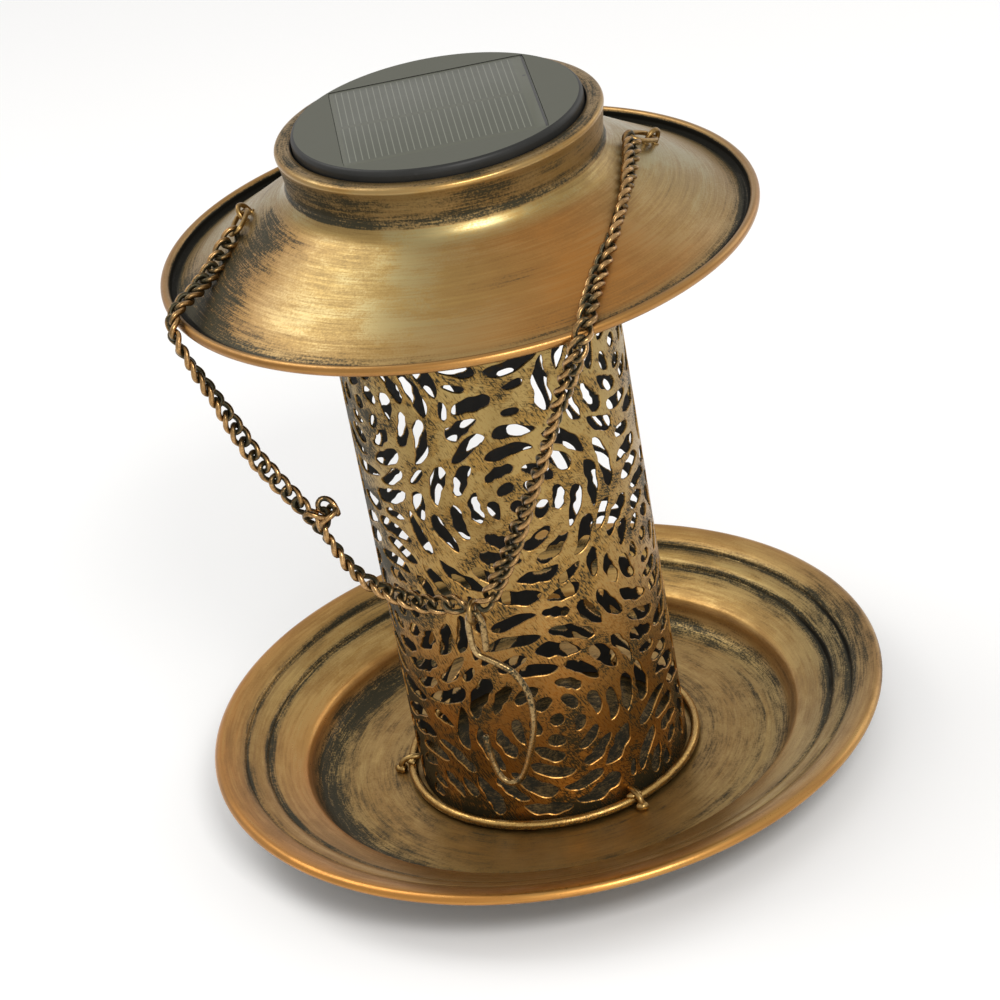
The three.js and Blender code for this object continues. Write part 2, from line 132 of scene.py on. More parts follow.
class Parts:
    """Collects vertices, faces and per-vertex values into one mesh."""
    def __init__(self):
        self.v, self.f, self.m, self.a, self.n = [], [], [], {}, 0

    def add(self, verts, faces, mat=0, **values):
        verts = np.asarray(verts, float)
        self.v.append(verts)
        self.f += [tuple(int(i) + self.n for i in f) for f in faces]
        self.m += [mat] * len(faces)
        for k in set(values) | set(self.a):
            had = self.a.setdefault(k, [np.zeros(self.n)] if self.n else [])
            had.append(np.broadcast_to(np.asarray(values.get(k, 0.0), float), (len(verts),)))
        self.n += len(verts)

    def tube(self, P, r, sides=12, closed=False, n0=None, caps=True, mat=0, **values):
        P = np.asarray(P, float)
        r = np.broadcast_to(np.asarray(r, float), (len(P),)).copy()
        if caps and not closed:
            T = np.gradient(P, axis=0)
            T /= np.linalg.norm(T, axis=1)[:, None]
            k = np.sin(np.radians([10, 35, 60, 80]))
            q = np.cos(np.radians([10, 35, 60, 80]))
            head = [P[0] - T[0] * r[0] * 0.75 * q_ for q_ in q]
            tail = [P[-1] + T[-1] * r[-1] * 0.75 * q_ for q_ in q[::-1]]
            r = np.r_[r[0] * k, r, r[-1] * k[::-1]]
            P = np.vstack([head, P, tail])
        T, N, B = transport(P, n0, closed)
        a = np.arange(sides) / sides * 2 * math.pi
        ring = N[:, None, :] * np.cos(a)[None, :, None] + B[:, None, :] * np.sin(a)[None, :, None]
        V = (P[:, None, :] + ring * r[:, None, None]).reshape(-1, 3)
        F = []
        n = len(P)
        for i in range(n if closed else n - 1):
            j = (i + 1) % n
            for k in range(sides):
                l = (k + 1) % sides
                F.append((i * sides + k, i * sides + l, j * sides + l, j * sides + k))
        if not closed:
            F.append(tuple(range(sides - 1, -1, -1)))
            F.append(tuple((n - 1) * sides + k for k in range(sides)))
        self.add(V, F, mat, **values)

    def turned(self, prof, seg=192, mats=None, wobble=0.0, centre=(0, 0), phase=0.0, **values):
        """Closed profile (r, z) about Z. Points at r = 0 become one vertex. values are per profile point."""
        prof = np.asarray(prof, float)
        area = np.sum(prof[:, 0] * np.roll(prof[:, 1], -1) - np.roll(prof[:, 0], -1) * prof[:, 1])
        vals = {k: np.asarray(v, float) for k, v in values.items()}
        mats = np.zeros(len(prof), int) if mats is None else np.asarray(mats)
        if area < 0:
            prof = prof[::-1]
            vals = {k: v[::-1] for k, v in vals.items()}
            mats = np.roll(mats[::-1], -1)
        th = np.arange(seg) / seg * 2 * math.pi + phase
        V, idx, out = [], [], {k: [] for k in vals}
        for i, (r, z) in enumerate(prof):
            if r < 1e-6:
                idx.append([len(V)] * seg)
                V.append((centre[0], centre[1], z))
                c = 1
            else:
                idx.append(list(range(len(V), len(V) + seg)))
                dz = wobble * (0.5 * np.sin(3 * th + 1.1) + 0.3 * np.sin(5 * th + 0.4) + 0.2 * np.sin(9 * th + 2.0)) * min(1, max(0, (r - 77) / 33)) if wobble else 0 * th
                for k in range(seg):
                    V.append((centre[0] + r * math.cos(th[k]), centre[1] + r * math.sin(th[k]), z + dz[k]))
                c = seg
            for q in out:
                out[q] += [vals[q][i]] * c
        n = len(prof)
        base = self.n
        bym = {}
        for i in range(n):
            j = (i + 1) % n
            if prof[i][0] < 1e-6 and prof[j][0] < 1e-6:
                continue
            F = bym.setdefault(int(mats[i]), [])
            for k in range(seg):
                l = (k + 1) % seg
                quad = [idx[i][k], idx[i][l], idx[j][l], idx[j][k]]
                quad = list(dict.fromkeys(quad))
                F.append(tuple(quad))
        first = True
        for m_, F in bym.items():
            if first:
                self.add(V, F, m_, **{k: np.array(o) for k, o in out.items()})
                first = False
            else:
                self.f += [tuple(i + base for i in f) for f in F]
                self.m += [m_] * len(F)

    def make(self, name, mats, smooth=True, angle=None, scale=MM, normals=None):
        V = np.vstack(self.v) * scale
        me = bpy.data.meshes.new(name)
        me.from_pydata(V.tolist(), [], self.f)
        me.polygons.foreach_set("use_smooth", [smooth] * len(me.polygons))
        me.polygons.foreach_set("material_index", self.m)
        for k, parts in self.a.items():
            at = me.attributes.new(k, "FLOAT", "POINT")
            at.data.foreach_set("value", np.concatenate(parts).astype(np.float32))
        for m in mats:
            me.materials.append(m)
        me.update()
        if angle is not None:
            me.set_sharp_from_angle(angle=math.radians(angle))
        o = bpy.data.objects.new(name, me)
        scene.collection.objects.link(o)
        return o


# ------------------------------------------------------------------ helpers: node graphs
class Graph:
    def __init__(self, name):
        self.mat = bpy.data.materials.new(name)
        self.mat.use_nodes = True
        self.t = self.mat.node_tree
        self.t.nodes.clear()
        self.out = self.t.nodes.new("ShaderNodeOutputMaterial")
        self.bsdf = self.t.nodes.new("ShaderNodeBsdfPrincipled")
        self.t.links.new(self.bsdf.outputs[0], self.out.inputs[0])
        self._tc = None

    def put(self, sock, v):
        if isinstance(v, bpy.types.NodeSocket):
            self.t.links.new(v, sock)
        elif isinstance(v, (tuple, list)) and len(v) == 3 and sock.type == "RGBA":
            sock.default_value = (*v, 1.0)
        else:
            sock.default_value = v

    def math(self, op, a, b=None, c=None, clamp=False):
        n = self.t.nodes.new("ShaderNodeMath")
        n.operation, n.use_clamp = op, clamp
        for i, v in enumerate((a, b, c)):
            if v is not None:
                self.put(n.inputs[i], v)
        return n.outputs[0]

    def obj(self):
        if self._tc is None:
            self._tc = self.t.nodes.new("ShaderNodeTexCoord").outputs["Object"]
        return self._tc

    def sep(self, v):
        n = self.t.nodes.new("ShaderNodeSeparateXYZ")
        self.put(n.inputs[0], v)
        return n.outputs[0], n.outputs[1], n.outputs[2]

    def comb(self, x, y, z):
        n = self.t.nodes.new("ShaderNodeCombineXYZ")
        for i, v in enumerate((x, y, z)):
            self.put(n.inputs[i], v)
        return n.outputs[0]

    def scaled(self, v, s):
        n = self.t.nodes.new("ShaderNodeVectorMath")
        n.operation = "MULTIPLY"
        self.put(n.inputs[0], v)
        n.inputs[1].default_value = s if hasattr(s, "__len__") else (s, s, s)
        return n.outputs[0]

    def noise(self, v, scale=1.0, detail=3.0, rough=0.55, distort=0.0):
        n = self.t.nodes.new("ShaderNodeTexNoise")
        self.put(n.inputs["Vector"], v)
        n.inputs["Scale"].default_value = scale
        n.inputs["Detail"].default_value = detail
        n.inputs["Roughness"].default_value = rough
        n.inputs["Distortion"].default_value = distort
        return n.outputs["Fac"]

    def voronoi(self, v, scale, feature="F1", rand=1.0):
        n = self.t.nodes.new("ShaderNodeTexVoronoi")
        n.feature = feature
        self.put(n.inputs["Vector"], v)
        n.inputs["Scale"].default_value = scale
        n.inputs["Randomness"].default_value = rand
        return n.outputs["Distance"]

    def step(self, v, a, b, to0=0.0, to1=1.0):
        n = self.t.nodes.new("ShaderNodeMapRange")
        n.interpolation_type = "SMOOTHSTEP"
        self.put(n.inputs[0], v)
        n.inputs[1].default_value, n.inputs[2].default_value = a, b
        n.inputs[3].default_value, n.inputs[4].default_value = to0, to1
        return n.outputs[0]

    def mix(self, f, a, b, blend="MIX"):
        n = self.t.nodes.new("ShaderNodeMix")
        n.data_type = "RGBA"
        n.blend_type = blend
        self.put(n.inputs[0], f)
        self.put(n.inputs[6], a)
        self.put(n.inputs[7], b)
        return n.outputs[2]

    def attr(self, name):
        n = self.t.nodes.new("ShaderNodeAttribute")
        n.attribute_name = name
        return n.outputs["Fac"]

    def bump(self, h, strength, dist, normal=None):
        n = self.t.nodes.new("ShaderNodeBump")
        n.inputs["Strength"].default_value = strength
        n.inputs["Distance"].default_value = dist
        self.put(n.inputs["Height"], h)
        if normal is not None:
            self.put(n.inputs["Normal"], normal)
        return n.outputs[0]

    def set(self, **kw):
        for k, v in kw.items():
            self.put(self.bsdf.inputs[k.replace("_", " ")], v)
        return self.mat


KHAKI, GOLD, COPPER, BROWN = (0.40, 0.29, 0.118), (0.38, 0.245, 0.085), (0.42, 0.20, 0.062), (0.17, 0.105, 0.040)
BLACK = (0.046, 0.040, 0.024)


def bronze_paint(g, strokes, fine, patch, warm_extra=0.0, dark_lo=0.50, dark_hi=0.62, rough=0.30, khaki=KHAKI, gold=GOLD, copper=COPPER,
                 bump=0.25, bump_d=0.00012, wave=None, wave_d=0.0012, wave_s=0.25, wash=0.55, grey=None, coat_w=0.22, even=0.0, fine_lo=0.45):
    """Dry-brushed antique bronze over black. strokes and fine are stretched noises, patch a broad one, from 0 to 1."""
    khaki, gold, copper, brown, black = (tuple(c * k for c, k in zip(col, (0.97, 0.96, 0.84))) for col in (khaki, gold, copper, BROWN, BLACK))
    # This per-vertex level is the black coat left in hollows, with painted shade added into it on some pieces.
    grime, warm = g.attr("grime"), g.attr("warm")
    level = g.math("ADD", g.math("MULTIPLY", strokes, 0.55), g.math("MULTIPLY", patch, 0.35))
    level = g.math("ADD", level, g.math("MULTIPLY", grime, 0.62))
    amp = g.math("ADD", fine_lo, g.math("MULTIPLY", g.math("MULTIPLY", grime, grime), 0.65))
    level = g.math("ADD", level, g.math("MULTIPLY", g.math("SUBTRACT", fine, 0.5), amp))
    dark = g.step(level, dark_lo, dark_hi)
    film = g.step(level, dark_lo - 0.26, dark_lo + 0.04)           # thin brown wash before the black shows
    tone = g.step(g.math("ADD", g.math("MULTIPLY", patch, 0.7), g.math("MULTIPLY", fine, 0.3)), 0.35, 0.65)
    body = g.mix(tone, khaki, gold)
    warm_f = g.math("ADD", warm, warm_extra)
    warm_f = g.math("MULTIPLY", warm_f, g.step(strokes, 0.25, 0.75, 0.55 + 0.3 * even, 1.2 - 0.1 * even), clamp=True)
    body = g.mix(warm_f, body, copper)
    body = g.mix(g.math("MULTIPLY", film, wash), body, brown)
    if grey is not None:
        body = g.mix(grey, body, (0.27, 0.235, 0.148))
    col = g.mix(dark, body, black)
    r = g.math("ADD", rough, g.math("MULTIPLY", fine, 0.16))
    r = g.math("ADD", r, g.math("MULTIPLY", film, 0.10))
    r = g.math("ADD", r, g.math("MULTIPLY", dark, 0.12))
    # Painted shade: where the dark-coat level runs past about 0.9, the colour goes near black, less shiny and rougher.
    # This stands in for the shade deep in troughs and creases.
    painted_shade = g.step(g.math("ADD", grime, g.math("MULTIPLY", g.math("SUBTRACT", strokes, 0.5), 0.7)), 0.88, 1.12)
    col = g.mix(painted_shade, col, (0.010, 0.009, 0.006))
    r = g.math("ADD", r, g.math("MULTIPLY", painted_shade, 0.15))
    met = g.math("SUBTRACT", 1.0, g.math("MULTIPLY", dark, 0.22))
    spec = g.math("SUBTRACT", 0.45, g.math("MULTIPLY", g.math("MAXIMUM", dark, painted_shade), 0.30))
    coat = g.math("MULTIPLY", g.math("SUBTRACT", 1.0, g.math("MAXIMUM", g.math("MULTIPLY", dark, 0.6), painted_shade)), coat_w)
    nrm = None
    if wave is not None:
        nrm = g.bump(wave, wave_s, wave_d)
    nrm = g.bump(g.math("SUBTRACT", fine, g.math("MULTIPLY", dark, 0.35)), bump, bump_d, nrm)
    return g.set(Base_Color=col, Metallic=met, Roughness=r, Normal=nrm, Specular_IOR_Level=spec, Coat_Weight=coat, Coat_Roughness=0.24)


def turned_bronze(name, A=3.0, B=650.0, broad=0.0, **kw):
    """Strokes run round the axis: A sets their length, B how many cross a metre."""
    g = Graph(name)
    x, y, z = g.sep(g.obj())
    r = g.math("SQRT", g.math("ADD", g.math("ADD", g.math("MULTIPLY", x, x), g.math("MULTIPLY", y, y)), 1e-8))
    cx, cy = g.math("DIVIDE", x, r), g.math("DIVIDE", y, r)
    arc = g.attr("arc")
    v = g.comb(g.math("MULTIPLY", cx, A), g.math("MULTIPLY", cy, A), g.math("MULTIPLY", arc, B))
    strokes = g.noise(v, 1.0, 4.0, 0.62)
    vf = g.comb(g.math("MULTIPLY", cx, A * 3.5), g.math("MULTIPLY", cy, A * 3.5), g.math("MULTIPLY", arc, B * 4.2))
    fine = g.noise(vf, 1.0, 3.0, 0.6)
    speck = g.noise(g.scaled(g.obj(), 1500.0), 1.0, 3.0, 0.6)
    fine = g.step(g.math("ADD", g.math("MULTIPLY", fine, 0.5), g.math("MULTIPLY", speck, 0.5)), 0.28, 0.72)
    vp = g.comb(g.math("MULTIPLY", cx, 1.9), g.math("MULTIPLY", cy, 1.9), g.math("MULTIPLY", arc, 42.0))
    patch = g.noise(vp, 1.0, 3.0, 0.55)
    if broad:
        vb = g.comb(g.math("MULTIPLY", cx, 5.5), g.math("MULTIPLY", cy, 5.5), g.math("MULTIPLY", arc, 210.0))
        b1 = g.noise(vb, 1.0, 3.0, 0.6, 0.3)
        patch = g.math("ADD", g.math("MULTIPLY", patch, 1.0 - broad), g.math("MULTIPLY", b1, broad))
        patch = g.step(patch, 0.30, 0.70, 0.12, 0.88)
    wave = g.noise(g.comb(g.math("MULTIPLY", cx, 3.2), g.math("MULTIPLY", cy, 3.2), g.math("MULTIPLY", arc, 26.0)), 1.0, 1.0, 0.4)
    grey = g.step(x, 0.03, 0.11, 0.0, kw.pop("greyed", 0.25))
    return bronze_paint(g, strokes, fine, patch, wave=wave, grey=grey, **kw)


def sheet_bronze(name, **kw):
    """The tube: broad colour by height, short slanted dry-brush dashes in the unrolled sheet."""
    g = Graph(name)
    u, h = g.attr("u"), g.attr("h")
    # slanted frame: a across the dashes, b along them
    a = g.math("ADD", g.math("MULTIPLY", u, 0.90), g.math("MULTIPLY", h, 0.44))
    b = g.math("SUBTRACT", g.math("MULTIPLY", h, 0.90), g.math("MULTIPLY", u, 0.44))
    c = g.math("ADD", g.math("MULTIPLY", u, 0.94), g.math("MULTIPLY", h, -0.34))
    d = g.math("ADD", g.math("MULTIPLY", h, 0.94), g.math("MULTIPLY", u, 0.34))
    s1 = g.noise(g.comb(g.math("MULTIPLY", a, 1900.0), g.math("MULTIPLY", b, 420.0), 0.0), 1.0, 3.0, 0.6)
    s2 = g.noise(g.comb(g.math("MULTIPLY", c, 500.0), g.math("MULTIPLY", d, 2000.0), 4.0), 1.0, 3.0, 0.6)
    which = g.step(g.noise(g.comb(g.math("MULTIPLY", u, 40.0), g.math("MULTIPLY", h, 40.0), 21.0), 1.0, 2.0, 0.5), 0.46, 0.56)
    strokes = g.math("ADD", g.math("MULTIPLY", s1, g.math("SUBTRACT", 1.0, which)), g.math("MULTIPLY", g.math("MAXIMUM", s1, s2), which))
    strokes = g.step(strokes, 0.30, 0.74)
    fine = g.noise(g.comb(g.math("MULTIPLY", a, 3400.0), g.math("MULTIPLY", b, 1500.0), 3.0), 1.0, 3.0, 0.6)
    patch = g.noise(g.comb(g.math("MULTIPLY", u, 85.0), g.math("MULTIPLY", h, 85.0), 9.0), 1.0, 4.0, 0.6)
    patch = g.step(patch, 0.36, 0.66, 0.05, 0.95)
    wave = g.noise(g.comb(g.math("MULTIPLY", u, 45.0), g.math("MULTIPLY", h, 45.0), 5.0), 1.0, 2.0, 0.5)
    return bronze_paint(g, strokes, fine, patch, wave=wave, **kw)


def wire_bronze(name, dark_lo=0.46, dark_hi=0.60, rough=0.28, scale=1.0, **kw):
    g = Graph(name)
    o = g.obj()
    strokes = g.noise(g.scaled(o, 420.0 * scale), 1.0, 4.0, 0.65)
    fine = g.noise(g.scaled(o, 2400.0 * scale), 1.0, 3.0, 0.6)
    patch = g.noise(g.scaled(o, 110.0 * scale), 1.0, 2.0, 0.5)
    return bronze_paint(g, strokes, fine, patch, dark_lo=dark_lo, dark_hi=dark_hi, rough=rough, **kw)


def black_metal(name, tint=(0.018, 0.018, 0.016), rough=0.42):
    g = Graph(name)
    o = g.obj()
    n1 = g.noise(g.scaled(o, 900.0), 1.0, 4.0, 0.6)
    n2 = g.noise(g.scaled(o, 90.0), 1.0, 3.0, 0.6)
    worn = g.step(g.math("ADD", g.math("MULTIPLY", n1, 0.5), g.math("MULTIPLY", n2, 0.5)), 0.56, 0.70)
    col = g.mix(worn, g.mix(n2, tint, tuple(c * 1.9 for c in tint)), (0.10, 0.065, 0.028))
    return g.set(Base_Color=col, Metallic=g.math("MULTIPLY", worn, 0.8), Roughness=g.math("ADD", rough, g.math("MULTIPLY", n1, 0.2)),
                 Normal=g.bump(n1, 0.25, 0.00012))


def plastic(name, col=(0.018, 0.018, 0.018), rough=0.42, grain=1600.0, bump=0.12, vary=1.5, spec=0.5):
    g = Graph(name)
    o = g.obj()
    n1 = g.noise(g.scaled(o, grain), 1.0, 3.0, 0.6)
    n2 = g.noise(g.scaled(o, 70.0), 1.0, 3.0, 0.6)
    scuff = g.step(g.noise(g.scaled(o, (260.0, 900.0, 400.0)), 1.0, 4.0, 0.7), 0.60, 0.78)
    c = g.mix(n2, col, tuple(min(1, k * vary + 0.004) for k in col))
    c = g.mix(g.math("MULTIPLY", scuff, 0.25), c, tuple(min(1, k * 1.6 + 0.05) for k in col))
    r = g.math("ADD", g.math("ADD", rough, g.math("MULTIPLY", n2, 0.10)), g.math("MULTIPLY", scuff, 0.12))
    return g.set(Base_Color=c, Roughness=r, Specular_IOR_Level=spec, Normal=g.bump(n1, bump, 0.00008))


def steel(name, col=(0.62, 0.61, 0.58), rough=0.26, stretch=(300.0, 300.0, 2600.0)):
    g = Graph(name)
    o = g.obj()
    n1 = g.noise(g.scaled(o, stretch), 1.0, 4.0, 0.6)
    n2 = g.noise(g.scaled(o, 160.0), 1.0, 3.0, 0.6)
    c = g.mix(n1, tuple(k * 0.78 for k in col), col)
    c = g.mix(g.step(n2, 0.55, 0.75, 0.0, 0.35), c, (0.30, 0.24, 0.17))
    return g.set(Base_Color=c, Metallic=1.0, Roughness=g.math("ADD", rough, g.math("MULTIPLY", n1, 0.18)), Normal=g.bump(n1, 0.18, 0.00006))


# ------------------------------------------------------------------ chain, rings and hook
HN, HU, HD = np.array((-0.43209, -0.90183, 0.0)), np.array((0.90183, -0.43209, 0.0)), 68.898
PIVOT_U, PIVOT_Z = 14.9, 94.3


def hang(u, z, out=0.0):
    return HN * (HD + out) + HU * u + np.array((0, 0, z))


CHAIN_L = [[-65.6, -0.9, 202.3], [-69.0, -5.6, 200.2], [-72.1, -10.3, 197.9], [-75.4, -14.9, 195.9], [-79.0, -19.7, 194.5],
           [-82.6, -24.5, 193.7], [-85.8, -29.6, 192.5], [-87.0, -34.2, 189.1], [-85.6, -36.8, 183.8], [-83.4, -38.1, 178.2],
           [-81.1, -38.8, 172.6], [-78.8, -39.3, 167.0], [-76.6, -39.9, 161.3], [-74.5, -40.7, 155.6], [-72.2, -41.8, 150.1],
           [-69.4, -43.1, 144.8], [-66.2, -44.6, 139.8], [-62.9, -46.2, 134.9], [-59.7, -47.8, 130.0], [-56.8, -49.2, 124.8],
           [-54.2, -50.4, 119.4], [-51.6, -51.7, 114.0], [-48.4, -53.2, 109.1], [-44.2, -55.2, 105.2], [-39.3, -57.6, 102.4],
           [-34.1, -60.1, 100.6], [-28.8, -62.6, 99.4], [-21.6, -66.0, 99.6]]
CHAIN_R = [[55.9, -1.0, 209.0], [55.2, -5.6, 209.1], [54.4, -10.8, 208.6], [53.5, -17.0, 208.5], [52.2, -23.0, 207.8], [50.7, -29.0, 207.0],
           [49.1, -34.9, 205.8], [47.2, -40.7, 204.5], [45.1, -46.4, 203.0], [42.9, -52.0, 201.4], [40.4, -57.4, 199.6],
           [37.9, -62.8, 197.7], [35.5, -68.4, 196.3], [33.6, -74.2, 195.5], [31.9, -80.2, 194.7], [30.0, -85.8, 192.7],
           [27.4, -89.5, 188.6], [24.6, -89.9, 183.1], [22.2, -88.6, 177.5], [20.0, -86.7, 172.0], [17.9, -85.0, 166.4],
           [15.7, -83.7, 160.7], [13.4, -82.6, 155.0], [11.1, -81.6, 149.3], [8.6, -80.6, 143.7], [6.2, -79.5, 138.1],
           [3.7, -78.3, 132.4], [1.3, -77.1, 126.9], [-1.3, -75.8, 121.3], [-3.9, -74.5, 115.8], [-6.7, -73.1, 110.4],
           [-9.6, -71.8, 105.1], [-11.4, -71.0, 101.9]]

M_CHAIN = wire_bronze("m_chain", dark_lo=0.56, dark_hi=0.76, warm_extra=0.30, rough=0.13, scale=1.0, wash=0.8, khaki=(0.56, 0.40, 0.20), gold=(0.55, 0.34, 0.14), copper=(0.62, 0.31, 0.14))
M_WIRE = wire_bronze("m_wire", dark_lo=0.52, dark_hi=0.68, warm_extra=0.4, rough=0.20, scale=0.9, wash=0.6)
M_HOOK = wire_bronze("m_hook", dark_lo=0.46, dark_hi=0.53, warm_extra=0.2, rough=0.12, scale=0.6, wash=0.7, khaki=(0.52, 0.39, 0.21), gold=(0.50, 0.33, 0.15), copper=(0.48, 0.24, 0.09))

WIRE_D = 1.7


def link(parts, c, T, N, a=3.25, b=2.25, twist=0.80, r=WIRE_D / 2, steps=30, sides=12, seed=0):
    """One curb link: an oval turned about its own length, centre c, length along T."""
    B = np.cross(T, N)
    t = np.arange(steps) / steps * 2 * math.pi
    x = a * np.cos(t) * (1 + 0.05 * np.cos(2 * t))
    w = b * np.sin(t)
    w = np.sign(w) * np.abs(w / b) ** 0.78 * b
    ph = twist * np.cos(t) + seed
    P = c + T * x[:, None] + N * (w * np.cos(ph))[:, None] + B * (w * np.sin(ph))[:, None]
    P = along(catmull(P, 2, closed=True), count=steps, closed=True)
    before = parts.n
    parts.tube(P, r, sides=sides, closed=True, grime=0.0, warm=0.35)
    V = parts.v[-1] - c
    ax = V @ T
    away = np.linalg.norm(V - np.outer(ax, T), axis=1)
    # Painted shade: the inner side of the wire, facing the link's own hole, is made darker. So are the link ends where
    # the next links hang.
    inner = np.clip((b + 0.25 - away) / (r * 1.6), 0, 1) * np.clip((a - np.abs(ax) + 0.4) / 1.0, 0, 1)
    tip = np.clip((np.abs(ax) - a + 0.1) / r, 0, 1)
    parts.a["grime"][-1] = 0.05 + 0.95 * inner + 0.35 * tip


def chain(name, pts, pitch, roll0, roll_rate, extra=()):
    P = along(catmull(np.array(pts + list(extra)), 10), step=0.5)
    n = len(P)
    d = np.r_[0, np.cumsum(np.linalg.norm(np.diff(P, axis=0), axis=1))]
    T, N, B = transport(P, (0, 0, 1))
    count = max(2, int(round(d[-1] / pitch)))
    p = d[-1] / count
    parts = Parts()
    r = np.random.RandomState(len(pts))
    wob = np.cumsum(r.uniform(-0.16, 0.16, count))
    for i in range(count):
        s = (i + 0.5) * p
        k = int(np.searchsorted(d, s))
        k0, k1 = max(0, k - 5), min(n - 1, k + 5)
        t = P[k1] - P[k0]
        t /= np.linalg.norm(t)
        a_ = roll0 + roll_rate * i + wob[i]
        nn = N[k] * math.cos(a_) + B[k] * math.sin(a_)
        nn -= (nn @ t) * t
        nn /= np.linalg.norm(nn)
        link(parts, P[k] + nn * r.uniform(-0.12, 0.12), t, nn, a=p / 2 + WIRE_D * 0.51, twist=0.82 + r.uniform(-0.06, 0.06))
    o = parts.make(name, [M_CHAIN])
    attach(o, "lantern")
    return o, along(P, step=4.0) * MM, d[-1] * MM


ring_c = hang(PIVOT_U, PIVOT_Z + 3.3)
left_chain, left_path, left_len = chain("left_chain_links", CHAIN_L, 4.8, 0.5, 0.20, extra=[hang(10.9, 98.6).tolist()])
right_chain, right_path, right_len = chain("right_chain_links", CHAIN_R, 4.8, 1.1, -0.16, extra=[hang(18.2, 100.2).tolist()])
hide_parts("chain_left")
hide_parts("chain_right")

# a little kink of three links standing up on the left run
k_parts = Parts()
kc = np.array((-56.9, -49.3, 124.6))
kt = np.array((-0.42, 0.20, 0.88)); kt /= np.linalg.norm(kt)
view_dir = np.array((0.0, -0.836, 0.548))
side = np.cross(kt, view_dir); side /= np.linalg.norm(side)
for (du, dv, dn, ang, sd) in ((4.2, 1.0, 2.2, 0.5, 0.2), (5.8, 5.0, 1.2, 1.9, 1.0), (1.8, 5.6, 2.4, -0.5, 0.4)):
    c = kc + side * du * -1 * -1 + kt * dv * 0.6 + view_dir * dn
    t = side * math.cos(ang) + kt * math.sin(ang)
    t /= np.linalg.norm(t)
    nn = view_dir - (view_dir @ t) * t
    nn /= np.linalg.norm(nn)
    link(k_parts, c, t, nn, seed=sd)
kink = k_parts.make("chain_kink_links", [M_CHAIN])
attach(kink, "lantern")

# jump rings, staples and the centre ring
TILT = math.atan2(5.0, 8.0)
ROOF_OUT = [[44.6, 225.45], [45.6, 225.7], [47.2, 225.7], [48.4, 225.5], [49.15, 225.0], [49.45, 224.2], [49.25, 223.1], [48.9, 221.6], [48.4, 218.4], [48.1, 215.6],
            [48.1, 214.2], [48.7, 212.3], [49.9, 210.4], [51.6, 208.8], [53.6, 207.5], [56.5, 205.7], [60.2, 203.4], [64, 201.0], [68, 198.5], [72, 196.0], [76, 193.6], [80, 191.2],
            [84.3, 188.6], [86.3, 187.7], [87.9, 188.1], [88.3, 189.4], [89.0, 190.4], [89.9, 190.6], [90.8, 190.1], [91.2, 189.1],
            [90.8, 188.0], [89.9, 187.5], [88.6, 187.3]]
ROOF_IN = [[86.3, 186.8], [83.9, 187.7], [79.6, 190.2], [71.6, 195.0], [63.6, 200.0], [56.1, 204.7], [53.2, 206.5], [51.1, 207.9],
           [49.2, 209.5], [47.7, 211.3], [46.8, 212.9], [46.5, 214.3], [46.5, 219.9], [41.5, 219.9], [41.5, 220.7], [44.3, 220.7],
           [44.3, 223.6], [44.3, 225.1]]


def roof_height(r):
    o = np.array(ROOF_OUT[9:23])
    return float(np.interp(r, o[:, 0], o[:, 1]))


def eye_frame(deg, toward):
    a = math.radians(deg)
    base = np.array((62 * math.cos(a), 62 * math.sin(a), roof_height(62)))
    n = np.array((math.sin(TILT) * math.cos(a), math.sin(TILT) * math.sin(a), math.cos(TILT)))
    q = np.array(toward) - base
    q -= (q @ n) * n
    q /= np.linalg.norm(q)
    return base, n, q, np.cross(q, n)


for key, deg, to in (("left", 172, CHAIN_L[0]), ("right", 7, CHAIN_R[0])):
    base, n, q, b = eye_frame(deg, to)
    P = lambda s, h: base + q * s + n * h
    pts = catmull([P(-2.7, -3.4), P(-2.7, -1), P(-2.7, 1.6), P(-1.9, 3.6), P(0, 4.5), P(1.9, 3.6), P(2.7, 1.6), P(2.7, -1), P(2.7, -3.4)], 6)
    st = Parts()
    st.tube(pts, 0.78, sides=14)
    # a drop of solder paint where each leg enters the roof
    for s_ in (-2.7, 2.7):
        ringp = [P(s_, 0.1) + (q * math.cos(t) + b * math.sin(t)) * 1.0 for t in np.arange(16) / 16 * 2 * math.pi]
        st.tube(ringp, 0.36, sides=8, closed=True)
    o = st.make(f"chain_eye_{key}_staple", [M_WIRE])
    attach(o, "lantern"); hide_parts(f"chain_eye_{key}")
    E = P(0.3, 2.3)
    K = np.array(to) - E
    L = np.linalg.norm(K) + 0.6
    d = K / np.linalg.norm(K)
    s = b - (b @ d) * d
    s /= np.linalg.norm(s)
    t = np.arange(48) / 48 * 2 * math.pi
    c = E + d * L / 2
    half = L / 2 - 2.7
    x = 2.7 * np.cos(t) + half * np.clip(1.6 * np.cos(t), -1, 1)
    pts = c + d * x[:, None] + s * (2.7 * np.sin(t))[:, None]
    pts = along(catmull(pts, 2, closed=True), count=56, closed=True)
    jr = Parts()
    jr.tube(pts, 0.78, sides=12, closed=True)
    o = jr.make(f"jump_ring_{key}_wire", [M_WIRE])
    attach(o, "lantern"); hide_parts(f"jump_ring_{key}")

t = np.arange(48) / 48 * 2 * math.pi
cr = Parts()
cr.tube(ring_c + HN * (3.3 * np.cos(t))[:, None] * 0 + HU * (3.3 * np.cos(t))[:, None] * 0
        + HN * (3.3 * np.cos(t))[:, None] + np.array((0, 0, 1.0)) * (3.3 * np.sin(t))[:, None], 0.8, sides=12, closed=True)
centre = cr.make("centre_ring_wire", [M_WIRE])
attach(centre, "lantern"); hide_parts("centre_ring")

